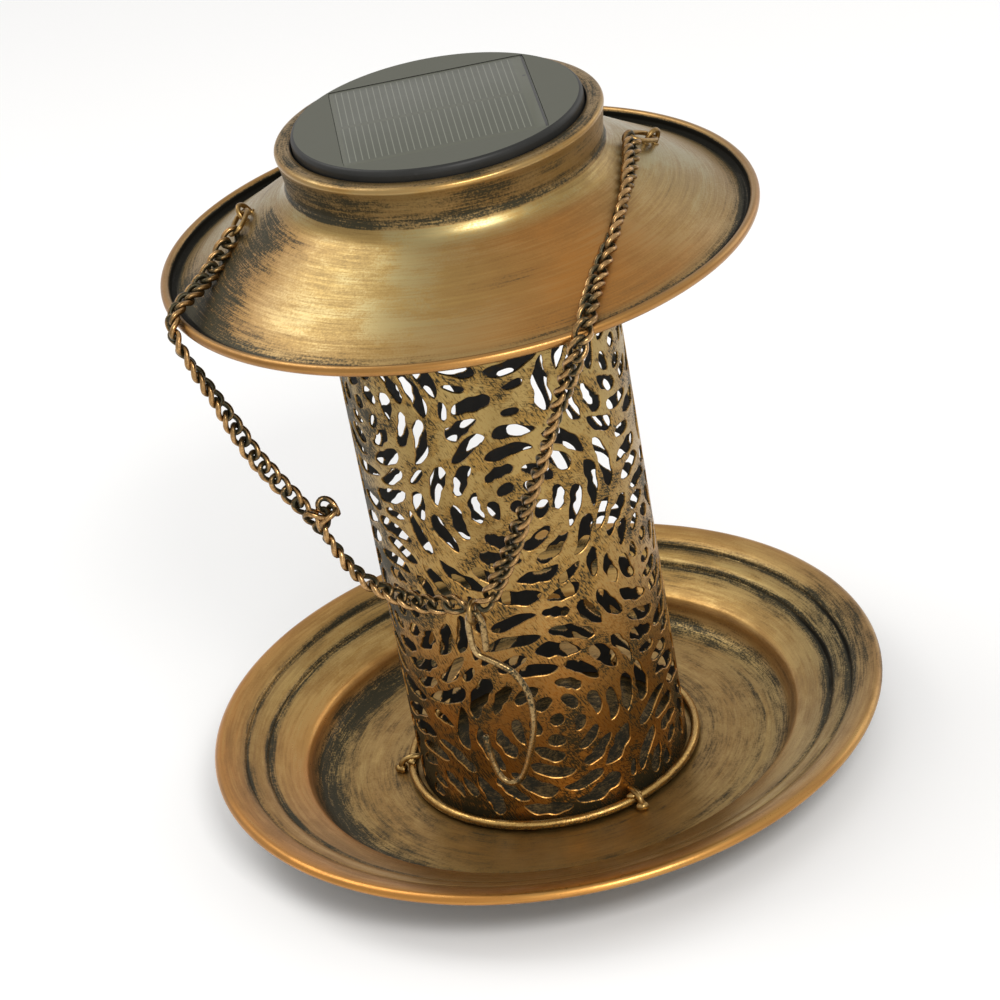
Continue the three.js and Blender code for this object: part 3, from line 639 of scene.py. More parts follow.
# ------------------------------------------------------------------ S-hook
HOOK = [[16.7, 84.4], [17.0, 89.0], [17.1, 93.0], [16.5, 95.7], [14.9, 97.2], [13.2, 95.9], [12.5, 93.0], [12.4, 88.4],
        [12.6, 84.9], [13.8, 82.4], [16.5, 81.1], [20.2, 79.3], [24.0, 76.8], [26.5, 72.8], [27.8, 68.4], [28.0, 63.0], [27.4, 57.6],
        [26.1, 52.4], [24.4, 47.2], [22.1, 41.4], [19.5, 37.4], [16.7, 36.1], [14.0, 37.2], [12.2, 41.0], [11.3, 46.4], [10.9, 52.4]]
hp = along(catmull(np.array([hang(u, z) for u, z in HOOK]), 8), step=0.7)
hk = Parts()
s_ = np.linspace(0, 1, len(hp))
hk.tube(hp, 1.02 + 0.02 * np.sin(s_ * 40), sides=16, n0=HN)
hook = hk.make("s_hook_wire", [M_HOOK])
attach(hook, "hook"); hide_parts("s_hook")

# ------------------------------------------------------------------ turned shells
def arc_of(P):
    return np.r_[0, np.cumsum(np.linalg.norm(np.diff(P, axis=0), axis=1))] * MM


def lerp(x, table):
    t = np.array(table, float)
    return np.interp(x, t[:, 0], t[:, 1])


TRAY_TOP = [[2, 1.0], [12, 1.02], [24, 1.05], [36, 1.02], [48, 1.0], [60, 1.0], [66, 1.0], [70, 1.0], [72.4, 1.05], [75, 1.6], [77.7, 3.2], [79.3, 5.6], [80.3, 8.2], [81.3, 9.7], [83, 10.7],
            [86.5, 12.3], [90.5, 13.9], [92.2, 14.4], [93.0, 14.5], [93.6, 15.6], [94.8, 16.5], [98.6, 17.8], [99.7, 17.9],
            [100.3, 19.0], [101.6, 19.9], [104, 20.9], [106.6, 21.6], [108.2, 21.7], [109.4, 21.1], [110, 20.1], [109.6, 19.1],
            [108.4, 18.7], [107.2, 19.2], [106.2, 19.9]]
TRAY_UNDER = [[104.2, 19.8], [102.1, 18.8], [101.2, 17.9], [100.4, 16.9], [98.9, 16.8], [95.2, 15.5], [94.3, 14.6], [93.6, 13.5],
              [92.4, 13.3], [86.9, 11.2], [83.4, 9.6], [82.1, 8.8], [81.2, 7.6], [80.2, 5.1], [78.4, 2.5], [75.3, 0.7], [72.6, 0.05], [70, 0], [60, 0], [40, 0], [20, 0], [2, 0]]
top = catmull(TRAY_TOP, 5, centripetal=True)
under = catmull(TRAY_UNDER, 3, centripetal=True)
top[:, 1] = np.maximum(top[:, 1], 0.95)
under[:, 1] = np.maximum(under[:, 1], 0.0)
prof = np.vstack([[[0, 1.0]], top, under, [[0, 0]]])
g_top = lerp(top[:, 0], [[0, .30], [46, .30], [52, .46], [58, .30], [66, .36], [71, .56], [74, .80], [77.5, .82], [79.3, .5], [80.2, .25], [81.4, .05], [83.5, .16], [88, .28],
                         [91, .42], [92.3, .75], [93.6, .70], [94.6, .2], [96.5, .18], [98.6, .4], [99.8, .72], [100.8, .45], [102.2, .2], [105, .18], [107, .02], [110, .06]])
w_top = lerp(top[:, 0], [[0, .5], [60, .5], [76, .3], [80, .85], [83, .45], [90, .35], [95, .25], [99, .3], [102, .55], [107, .75], [110, .9]])
edge = top[:, 0].argmax()
g_top[edge:] = np.linspace(0.1, 0.5, len(g_top) - edge)
grime = np.r_[g_top[0], g_top, np.full(len(under), 0.62), 0.62]
warm = np.r_[w_top[0], w_top, np.full(len(under), 0.6), 0.6]
mats = np.r_[0, np.zeros(len(top), int), np.ones(len(under), int), 1]
tray = Parts()
tray.turned(prof, 256, mats=mats, wobble=0.10, arc=arc_of(prof), grime=grime, warm=warm)
tv = np.vstack(tray.v)
taz = np.degrees(np.arctan2(tv[:, 1], tv[:, 0]))
tr_r = np.hypot(tv[:, 0], tv[:, 1])
left = np.exp(-(((taz + 150 + 180) % 360 - 180) / 55) ** 2)
tray.a["warm"] = [np.concatenate(tray.a["warm"]) + 0.45 * left * (tr_r > 76) - 0.08 * (1 - left)]
# Painted shadow: the floor inside the tube, under 43 mm, is made darker. The other terms make the fillet lighter
# towards the front right, everything beyond 80 mm lighter at the front, the ledge lighter at the left, and the outer
# band darker on the right.
tray.a["grime"] = [np.concatenate(tray.a["grime"]) + np.where((tr_r > 70) & (tr_r < 79.5), -0.28 * np.exp(-((taz + 20) / 60) ** 2), 0) - 0.24 * np.exp(-((taz + 75) / 45) ** 2) * (tr_r > 80) + 0.42 * np.exp(-((taz - 2) / 26) ** 2) * np.clip((tr_r - 88) / 6, 0, 1) - 0.28 * np.exp(-((np.abs(taz) - 175) / 30) ** 2) * (tr_r > 80) * (tr_r < 91) + 0.38 * (tr_r < 43)]
M_TRAY = turned_bronze("m_tray", A=3.2, B=900.0, broad=0.6, dark_lo=0.62, dark_hi=0.96, rough=0.25, greyed=0.12, wash=0.42, bump=0.08, fine_lo=0.08, even=0.4, khaki=(0.50, 0.375, 0.155), gold=(0.48, 0.31, 0.100), copper=(0.52, 0.235, 0.060))
M_TRAY_UNDER = turned_bronze("m_tray_under", A=3.0, B=520.0, dark_lo=0.50, dark_hi=0.66, rough=0.38, greyed=0.0)
o = tray.make("tray_dish", [M_TRAY, M_TRAY_UNDER])
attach(o, "lantern"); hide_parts("tray")

out_p = catmull(ROOF_OUT, 5, centripetal=True)
in_p = catmull(ROOF_IN, 3, centripetal=True)
prof = np.vstack([out_p, in_p])
ip = np.arange(len(out_p))
bead = int(np.argmin(np.abs(out_p[:, 0] - 86.5) + 50 * (out_p[:, 1] > 189)))
# In the trough inside the rim the values pass 1. This also brings in the painted shade of bronze_paint and makes the
# trough nearly black.
g_out = np.where(ip < 5 * 11, lerp(out_p[:, 1], [[209, .15], [211.0, .2], [212.4, .55], [213.6, .82], [214.8, .72], [217, .52], [221, .62], [223.3, .40], [224.2, .0], [225.0, .05], [225.4, .5], [225.7, .6]]),
                 lerp(out_p[:, 0], [[49.5, .18], [52, .12], [58, .16], [66, .14], [76, .18], [82, .30], [84.8, .55], [86.0, 1.05], [88.3, 1.25], [88.7, .3], [90, .05], [91.2, .10]]))
g_out[ip > bead + 14] = np.clip(g_out[ip > bead + 14], 0.2, 0.5)
w_out = np.where(ip < 5 * 11, .5, lerp(out_p[:, 0], [[47, .25], [60, .15], [75, .22], [84, .4], [88, .6], [90, .75], [91.2, .9]]))
grime = np.r_[g_out, np.full(len(in_p), .75)]
warm = np.r_[w_out, np.full(len(in_p), .5)]
mats = np.r_[np.zeros(len(out_p) - 1, int), np.ones(len(in_p) + 1, int)]
roof = Parts()
roof.turned(prof, 256, mats=mats, wobble=0.06, arc=arc_of(prof), grime=grime, warm=warm)
rv = np.vstack(roof.v)
raz, rr = np.degrees(np.arctan2(rv[:, 1], rv[:, 0])), np.hypot(rv[:, 0], rv[:, 1])
on_cone = np.clip((rr - 50) / 4, 0, 1) * np.clip((86 - rr) / 4, 0, 1)
def near(deg, wide):
    return np.exp(-(((raz - deg + 180) % 360 - 180) / wide) ** 2)


patch_g = 0.60 * near(-166, 19) + 0.12 * near(-72, 30) + 0.20 * near(145, 20) + 0.15 * near(60, 18)
rz = rv[:, 2]
on_neck = (rr > 47.5) * (rr < 50.5) * (rz > 212) * (rz < 223.5)
neck_g = 0.14 * near(-150, 30) - 0.24 * near(-38, 24)
roof.a["grime"] = [np.concatenate(roof.a["grime"]) + patch_g * on_cone + neck_g * on_neck]
# Painted reflection: a copper tint on the cone at the front right and at the left stands in for warm surroundings
# reflected there. The front left, under the key light, stays paler.
roof.a["warm"] = [np.concatenate(roof.a["warm"]) + on_cone * (0.85 * near(-62, 30) + 0.6 * near(-160, 18))]
M_ROOF = turned_bronze("m_roof", A=2.2, B=1150.0, broad=0.35, dark_lo=0.70, dark_hi=0.95, rough=0.27, greyed=0.10, wash=0.42, bump=0.06, even=0.8, coat_w=0.30, fine_lo=0.10, khaki=(0.350, 0.318, 0.170), gold=(0.365, 0.272, 0.104), copper=(0.44, 0.19, 0.042))
M_UNDER = black_metal("m_inside_black")
o = roof.make("roof_shell", [M_ROOF, M_UNDER])
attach(o, "lantern"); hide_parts("roof")

# ------------------------------------------------------------------ base ring, top ring, lugs
def ring_profile(R, z, r, n=18):
    a = np.arange(n) / n * 2 * math.pi
    return np.column_stack([R + r * np.cos(a), z + r * np.sin(a)]), a


p_, a_ = ring_profile(47.1, 2.8, 1.5)
br = Parts()
# Darker on the underside of the ring wire than on its top.
br.turned(p_, 200, arc=a_ * 1.5 * MM, grime=np.clip(0.42 - 0.5 * np.sin(a_), 0.02, 0.9), warm=0 * a_ + 0.45)
M_RING = turned_bronze("m_ring", A=5.0, B=900.0, dark_lo=0.64, dark_hi=0.8, rough=0.22, greyed=0.05, khaki=(0.55, 0.40, 0.16), gold=(0.54, 0.34, 0.11), copper=(0.56, 0.27, 0.07))
o = br.make("base_ring_wire", [M_RING])
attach(o, "lantern"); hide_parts("base_ring")
p_, a_ = ring_profile(45.3, 214.2, 0.85, 10)
tr = Parts()
tr.turned(p_, 120, arc=a_ * MM, grime=0 * a_ + 0.8, warm=0 * a_ + 0.3)
o = tr.make("top_ring_wire", [M_UNDER])
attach(o, "lantern"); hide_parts("top_ring")
M_LUG = wire_bronze("m_lug", dark_lo=0.56, dark_hi=0.72, warm_extra=0.35, rough=0.24, scale=0.9)
for i, deg in enumerate((-62, 58, 178)):
    a = math.radians(deg)
    d = np.array((math.cos(a), math.sin(a), 0.0))
    sd = np.array((-math.sin(a), math.cos(a), 0.0))
    at = lambda r, z, s=0.0: d * r + sd * s + np.array((0, 0, z))
    z = 5.6
    lg = Parts()
    P = catmull([at(44.6, z), at(46.6, z + 0.1), at(48.6, z - 0.2), at(50.0, z - 1.0), at(50.7, z - 2.3), at(50.9, 1.3)], 8)
    s_ = np.linspace(0, 1, len(P))
    lg.tube(P, 1.0 + 0.10 * np.sin(s_ * 9) + 0.22 * np.exp(-((s_ - 0.95) / 0.12) ** 2), sides=14)
    # braze: a lump where the lug crosses the ring, and a foot on the tray
    for (c, rad, sq) in ((at(47.0, z - 1.0), (1.9, 2.6, 1.15), 0), (at(50.9, 2.0), (2.1, 2.0, 1.5), 1)):
        th, ph = np.meshgrid(np.arange(20) / 20 * 2 * math.pi, np.linspace(0.02, math.pi - 0.02, 12))
        th, ph = th.ravel(), ph.ravel()
        lump = 1 + 0.10 * np.sin(3 * th + i) * np.sin(ph) + 0.07 * np.cos(5 * th + 2 * ph)
        V = c + d * (rad[0] * lump * np.sin(ph) * np.cos(th))[:, None] + sd * (rad[1] * lump * np.sin(ph) * np.sin(th))[:, None] + np.array((0, 0, 1.0)) * (rad[2] * lump * np.cos(ph))[:, None]
        F = [(r_ * 20 + k, (r_ + 1) * 20 + k, (r_ + 1) * 20 + (k + 1) % 20, r_ * 20 + (k + 1) % 20) for r_ in range(11) for k in range(20)]
        F += [tuple(range(20)), tuple(11 * 20 + k for k in range(19, -1, -1))]
        lg.add(V, F)
    o = lg.make(f"ring_lug_{i + 1}_wire", [M_LUG])
    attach(o, "lantern"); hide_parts(f"ring_lug_{i + 1}")

# ------------------------------------------------------------------ perforated tube
TR, TT, TZ0, TZ1 = 44.1, 0.8, 1.3, 216.0
U_MAX = math.pi * TR - 0.12
CELL = 0.4
gu = np.arange(-U_MAX, U_MAX + CELL, CELL)
gz = np.arange(TZ0, TZ1 + CELL, CELL)
GU, GZ = np.meshgrid(gu, gz)
field = np.minimum.reduce([GU + U_MAX, U_MAX - GU, GZ - TZ0, TZ1 - GZ])   # distance to anything cut or to the sheet's edge
field = field - 0.9
PER = 2 * math.pi * TR
roses = []
for deg, zs in ((3, (39, 116, 194)), (-62, (4, 75, 149)), (62, (6, 86, 154)), (121, (40, 117, 195)), (-121, (37, 113, 192)), (178, (2, 78, 152))):
    for z in zs:
        roses.append((math.radians(deg) * TR, z))
roses = np.array(roses)
slots = []


def du_(a, b):
    return (a - b + PER / 2) % PER - PER / 2


def slot_shape(c, ang, length, width, curve, tilt, ess, asym, lump=0.0, stations=11):
    """Centre line samples with half widths, and the side normals. ang is the direction of the slot; curve bends it
    towards +normal.
    """
    t = np.linspace(-1, 1, stations)
    h = length / 2
    x = t * h
    y = curve * (x ** 2) / 2 + ess * np.sin(math.pi * t) + tilt * x
    y -= y.mean() * 0.5
    w = width / 2 * np.clip(1 - np.abs(t + asym * (1 - t * t)) ** 2.5, 0, 1) ** 0.5
    w = w * (1 + lump * np.sin(2.6 * math.pi * t + 9 * asym))
    ca, sa = math.cos(ang), math.sin(ang)
    P = np.column_stack([c[0] + x * ca - y * sa, c[1] + x * sa + y * ca])
    D = np.gradient(P, axis=0)
    D /= np.linalg.norm(D, axis=1)[:, None]
    Nn = np.column_stack([-D[:, 1], D[:, 0]])
    return P, w, Nn


def probe(P, w, gap):
    iu = np.clip(np.round((P[:, 0] + U_MAX) / CELL).astype(int), 0, len(gu) - 1)
    iz = np.clip(np.round((P[:, 1] - TZ0) / CELL).astype(int), 0, len(gz) - 1)
    if P[:, 0].min() < -U_MAX + 3 or P[:, 0].max() > U_MAX - 3 or P[:, 1].min() < TZ0 + 1.5 or P[:, 1].max() > TZ1 - 1.5:
        return -1.0
    return float((field[iz, iu] - w - gap).min())


def stamp(P, w):
    u0, u1 = P[:, 0].min() - 14, P[:, 0].max() + 14
    z0, z1 = P[:, 1].min() - 14, P[:, 1].max() + 14
    a, b = np.searchsorted(gu, (u0, u1))
    c, d = np.searchsorted(gz, (z0, z1))
    X, Y = GU[c:d, a:b], GZ[c:d, a:b]
    Q = along(np.column_stack([P, w]), step=0.8)
    best = field[c:d, a:b]
    for q in Q:
        best = np.minimum(best, np.hypot(X - q[0], Y - q[1]) - q[2])
    field[c:d, a:b] = best


def nearest(c):
    d = np.hypot(du_(c[0], roses[:, 0]), c[1] - roses[:, 1])
    k = int(d.argmin())
    return k, d[k]


def try_slot(k, rho, phi, length, width, tilt, gap, tries=9, r=rng, keep_own=True):
    for q in range(tries):
        c = np.array((roses[k][0] + rho * math.cos(phi), roses[k][1] + rho * math.sin(phi)))
        c[0] = (c[0] + PER / 2) % PER - PER / 2
        if keep_own and nearest(c)[0] != k:
            return False
        P, w, N_ = slot_shape(c, phi + math.pi / 2, length, width, 1.0 / max(rho, 4.0), tilt, r.uniform(-0.045, 0.045) * length, r.uniform(-0.42, 0.42), r.uniform(0, 0.2) if length > 8 else 0.0)
        if probe(P, w, gap) >= 0:
            slots.append((P, w, N_))
            stamp(P, w)
            return True
        length *= 0.94
        width *= 0.975
        phi += r.uniform(-0.06, 0.06)
        if length < 4.6 or width < 2.2:
            return False
    return False


R_RHO = [7.3, 13.0, 19.0, 25.2, 31.4, 37.6]
R_LEN = [6.4, 10.2, 13.6, 15.6, 17.0, 18.0]
R_WID = [4.1, 4.5, 4.8, 5.0, 5.1, 5.2]
GAP = 1.05
for k, c in enumerate(roses):                     # the round hole in each centre
    ang = rng.uniform(0, math.pi)
    P, w, N_ = slot_shape(c, ang, 4.6, 4.2, 0, 0, 0, 0)
    if probe(P, w, 1.0) >= 0:
        slots.append((P, w, N_)); stamp(P, w)
for j, rho in enumerate(R_RHO):
    for k in range(len(roses)):
        n = max(5, int(2 * math.pi * rho / (R_LEN[j] + 1.6)))
        ph = rng.uniform(0, 6.28)
        tl = rng.uniform(0.03, 0.11) * (1 if k % 2 else -1)
        for i in range(n):
            phi = ph + (i + rng.uniform(-0.10, 0.10)) * 2 * math.pi / n
            try_slot(k, rho + rng.uniform(-0.35, 0.35), phi, R_LEN[j] * rng.uniform(0.85, 1.12), R_WID[j] * rng.uniform(0.78, 1.08), tl, GAP)
for rnd, (lo, hi, wd, tries) in enumerate(((11, 17, 4.9, 4000), (8, 12, 4.0, 4000), (5.5, 8, 3.0, 3000))):   # lens-shaped fillers in what is left
    for i in range(tries):
        c = np.array((rng.uniform(-U_MAX + 4, U_MAX - 4), rng.uniform(TZ0 + 4, TZ1 - 4)))
        iu, iz = int((c[0] + U_MAX) / CELL), int((c[1] - TZ0) / CELL)
        if field[iz, iu] < wd / 2 + GAP:
            continue
        k, d = nearest(c)
        phi = math.atan2(c[1] - roses[k][1], du_(c[0], roses[k][0]))
        try_slot(k, d, phi, rng.uniform(lo, hi), wd * rng.uniform(0.75, 1.05), rng.uniform(-0.15, 0.15), GAP * 1.0, tries=5)


def outline(P, w, Nn, grow=0.0):
    a = P + Nn * (w + grow)[:, None]
    b = P - Nn * (w + grow)[:, None]
    e0 = P[0] - (P[1] - P[0]) / np.linalg.norm(P[1] - P[0]) * grow
    e1 = P[-1] + (P[-1] - P[-2]) / np.linalg.norm(P[-1] - P[-2]) * grow
    loop = np.vstack([e0, b[1:-1], e1, a[1:-1][::-1]])
    return along(catmull(loop, 3, closed=True), count=34, closed=True)


cuts = []
for P, w, Nn in slots:
    base = outline(P, w, Nn)
    nxt, prv = np.roll(base, -1, 0), np.roll(base, 1, 0)
    t_ = nxt - prv
    t_ /= np.maximum(np.linalg.norm(t_, axis=1), 1e-9)[:, None]
    nrm = np.column_stack([t_[:, 1], -t_[:, 0]])          # outward for a counter-clockwise loop
    area = np.sum(base[:, 0] * nxt[:, 1] - nxt[:, 0] * base[:, 1])
    if area < 0:
        nrm = -nrm
    cuts.append((base, base + nrm * 0.22, area))

pts, edges, faces = [], [], []
nu, nz = 92, 48
us, zs = np.linspace(-U_MAX, U_MAX, nu + 1), np.linspace(TZ0, TZ1, nz + 1)
rim = [(u, TZ0) for u in us] + [(U_MAX, z) for z in zs[1:]] + [(u, TZ1) for u in us[::-1][1:]] + [(-U_MAX, z) for z in zs[::-1][1:-1]]
pts += rim
edges += [(i, (i + 1) % len(rim)) for i in range(len(rim))]
for base, wide, area in cuts:
    s0 = len(pts)
    loop = wide if area > 0 else wide[::-1]
    pts += [tuple(p) for p in loop]
    faces.append(list(range(s0, s0 + len(loop))))
inner = []
for u in us[1:-1]:
    for z in zs[1:-1]:
        iu, iz = int((u + U_MAX) / CELL), int((z - TZ0) / CELL)
        if field[min(iz, len(gz) - 1), min(iu, len(gu) - 1)] > 0.75:
            inner.append((u, z))
pts += inner
vc, ve, vf, ov, oe, of_ = delaunay_2d_cdt([Vector(p) for p in pts], edges, faces, 0, 1e-5)
tris = [f for f, of1 in zip(vf, of_) if not of1]
flat = np.array([(v[0], v[1]) for v in vc])


def wrap(uv, R):
    a = uv[:, 0] / TR
    return np.column_stack([R * np.sin(a), -R * np.cos(a), uv[:, 1]])


tube = Parts()
n_flat = len(flat)
hh = flat[:, 1]
# Painted reflection: a copper tint rising towards the bottom of the tube, where it faces the tray.
low = lerp(hh, [[0, 1.0], [55, 0.75], [95, 0.3], [140, 0.1], [216, 0.05]])
# Darker towards the top and bottom ends of the sheet. The bumps at u = -67 and +68 mm are painted shade along the left
# and right sides of the tube.
ends_dark_and_side_shade = lerp(hh, [[0, 0.6], [12, 0.36], [40, 0.26], [120, 0.16], [165, 0.18], [190, 0.3], [216, .6]])
ends_dark_and_side_shade = ends_dark_and_side_shade + 0.72 * np.exp(-((flat[:, 0] + 67) / 20) ** 2) + 0.16 * np.exp(-((flat[:, 0] - 68) / 18) ** 2)
tube.add(wrap(flat, TR), [tuple(f) for f in tris], 0, u=flat[:, 0] * MM, h=hh * MM, warm=low, grime=ends_dark_and_side_shade)
tube.add(wrap(flat, TR - TT), [tuple(f[::-1]) for f in tris], 1, u=flat[:, 0] * MM, h=hh * MM, warm=low, grime=np.full(n_flat, 1.0))
for base, wide, area in cuts:
    if area < 0:
        base, wide = base[::-1], wide[::-1]
    m = len(base)
    V = np.vstack([wrap(wide, TR), wrap(base, TR - 0.20), wrap(base, TR - TT + 0.12), wrap(wide, TR - TT)])
    F0 = [(i, m + i, m + (i + 1) % m, (i + 1) % m) for i in range(m)]
    F1 = [(k * m + i, (k + 1) * m + i, (k + 1) * m + (i + 1) % m, k * m + (i + 1) % m) for k in (1, 2) for i in range(m)]
    uu = np.tile(base[:, 0], 4) * MM
    hz = np.tile(base[:, 1], 4) * MM
    # The same painted reflection of the tray, by height, on the slot walls.
    wv = np.tile(lerp(base[:, 1], [[0, 1.0], [60, 0.75], [120, 0.4], [216, 0.2]]), 4)
    gv = np.r_[np.full(m, 0.10), np.full(m, 0.22), np.full(2 * m, 0.6)]
    tube.add(V, F0, 0, u=uu, h=hz, warm=wv, grime=gv)
    nbase = tube.n - len(V)
    tube.f += [tuple(i + nbase for i in f) for f in F1]
    tube.m += [2] * len(F1)
m = len(rim)
R2 = np.array(rim)
V = np.vstack([wrap(R2, TR), wrap(R2, TR - TT)])
F = [(i, (i + 1) % m, m + (i + 1) % m, m + i) for i in range(m)]
tube.add(V, [f[::-1] for f in F], 2, u=np.tile(R2[:, 0], 2) * MM, h=np.tile(R2[:, 1], 2) * MM, warm=0.4, grime=0.5)
sa = np.linspace(-3.6, 3.6, 9)
sz = np.linspace(3.0, 213.0, 40)
for k_, R_ in enumerate((TR - TT - 0.12, TR - TT - 0.62)):
    V = np.array([(R_ * math.sin(math.pi + q / TR), -R_ * math.cos(math.pi + q / TR), z) for z in sz for q in sa])
    F = [(j * 9 + i, j * 9 + i + 1, (j + 1) * 9 + i + 1, (j + 1) * 9 + i) for j in range(39) for i in range(8)]
    tube.add(V, F if k_ == 0 else [f[::-1] for f in F], 1, grime=1.0, warm=0.3)
TK = dict(khaki=(0.36, 0.262, 0.108), gold=(0.365, 0.226, 0.070), copper=(0.50, 0.212, 0.045))
M_TUBE = sheet_bronze("m_tube", dark_lo=0.66, dark_hi=0.80, rough=0.27, bump=0.30, wave_d=0.0012, wave_s=0.35, wash=0.55, coat_w=0.08, **TK)
M_TUBE_IN = black_metal("m_tube_inside", tint=(0.012, 0.012, 0.011), rough=0.5)
M_TUBE_EDGE = sheet_bronze("m_tube_edge", dark_lo=0.62, dark_hi=0.80, rough=0.26, wash=0.6, **TK)
tube_o = tube.make("perforated_tube_sheet", [M_TUBE, M_TUBE_IN, M_TUBE_EDGE], angle=40)
me = tube_o.data
# exact round normals on the two faces of the sheet
co = np.empty(len(me.vertices) * 3, np.float32); me.vertices.foreach_get("co", co); co = co.reshape(-1, 3)
vi = np.empty(len(me.loops), np.int32); me.loops.foreach_get("vertex_index", vi)
ln = np.zeros((len(me.loops), 3), np.float32)
is_out, is_in = vi < n_flat, (vi >= n_flat) & (vi < 2 * n_flat)
rad = co[vi].copy(); rad[:, 2] = 0
rad /= np.maximum(np.linalg.norm(rad, axis=1), 1e-9)[:, None]
ln[is_out], ln[is_in] = rad[is_out], -rad[is_in]
me.normals_split_custom_set(ln.tolist())
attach(tube_o, "lantern"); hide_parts("perforated_tube")
print("slots", len(slots), "tube faces", len(me.polygons))

# ------------------------------------------------------------------ solar light
CAP_R, CAP_TOP = 43.9, 228.7
turn = math.radians(2.2)


def square(half, rmax, n_edge=16):
    """Square of that half side, turned, its corners cut back to the circle rmax."""
    P = []
    for k in range(4):
        a0 = k * math.pi / 2
        for i in range(n_edge):
            t = -1 + 2 * i / n_edge
            x, y = half, half * t
            P.append((x * math.cos(a0) - y * math.sin(a0), x * math.sin(a0) + y * math.cos(a0)))
    P = np.array(P)
    r = np.linalg.norm(P, axis=1)
    P *= np.minimum(1, rmax / r)[:, None]
    c, s = math.cos(turn), math.sin(turn)
    return np.column_stack([P[:, 0] * c - P[:, 1] * s, P[:, 0] * s + P[:, 1] * c])


M_BLACK = plastic("m_black_plastic", col=(0.012, 0.012, 0.011), rough=0.38, spec=0.28)
house = Parts()
# cup and rounded side, open at the top where the face goes
side = catmull([[42.75, 228.66], [43.2, 228.45], [43.6, 228.0], [43.85, 227.3], [43.9, 226.4], [43.9, 224.0], [43.85, 222.5], [43.5, 221.95], [42.6, 221.9], [41.05, 221.9]], 4, centripetal=True)
cup = np.array([[41.0, 221.4], [41.0, 210.0], [41.0, 198.5], [40.8, 198.1], [40.4, 198.0], [39.8, 198.0], [39.4, 198.2], [39.4, 200.0], [39.4, 224.5], [0, 224.5]])
prof = np.vstack([side, cup])
# top face: rim ring, then the flat with a pocket for the panel
sq_out, sq_in = square(30.17, 42.31), square(30.135, 42.28)
circ = np.array([(42.75 * math.cos(t), 42.75 * math.sin(t)) for t in np.arange(192) / 192 * 2 * math.pi])
pts = [tuple(p) for p in circ] + [tuple(p) for p in sq_out]
ed = [(i, (i + 1) % 192) for i in range(192)]
fc = [list(range(192, 192 + len(sq_out)))]
vc, ve, vf, ov, oe, of_ = delaunay_2d_cdt([Vector(p) for p in pts], ed, fc, 0, 1e-6)
tr_ = [tuple(f) for f, of1 in zip(vf, of_) if not of1]
V = np.array([(v[0], v[1], 228.66) for v in vc])
house.add(V, tr_, 1)
q = len(sq_out)
V = np.vstack([np.column_stack([sq_out, np.full(q, 228.66)]), np.column_stack([sq_in, np.full(q, 228.45)]), np.column_stack([sq_in, np.full(q, 226.6)])])
F = [(k * q + i, k * q + (i + 1) % q, (k + 1) * q + (i + 1) % q, (k + 1) * q + i) for k in (0, 1) for i in range(q)]
F.append(tuple(2 * q + i for i in range(q)))
house.add(V, F)
th = np.arange(192) / 192 * 2 * math.pi
V, F = [], []
for r, z in prof:
    V += [(r * math.cos(t), r * math.sin(t), z) for t in th] if r > 0 else [(0, 0, z)]
rows = len(prof) - 1
for i in range(rows - 1):
    for k in range(192):
        l = (k + 1) % 192
        F.append((i * 192 + k, (i + 1) * 192 + k, (i + 1) * 192 + l, i * 192 + l))
last = rows * 192
for k in range(192):
    F.append(((rows - 1) * 192 + k, last, (rows - 1) * 192 + (k + 1) % 192))
house.add(V, F)
# screw posts inside the cup
for (x, y) in ((0, 35.4), (-29.0, -20.4), (29.0, -20.4)):
    house.turned([[1.55, 200.3], [3.0, 200.3], [3.2, 200.6], [3.25, 224.6], [1.55, 224.6]], 28, centre=(x, y))
M_CAP = plastic("m_cap_top", col=(0.054, 0.056, 0.037), rough=0.40, bump=0.06, vary=1.12)
housing = house.make("solar_housing_shell", [M_BLACK, M_CAP], angle=42)
bpy.context.view_layer.update()
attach(housing, "solar_light"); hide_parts("solar_housing")

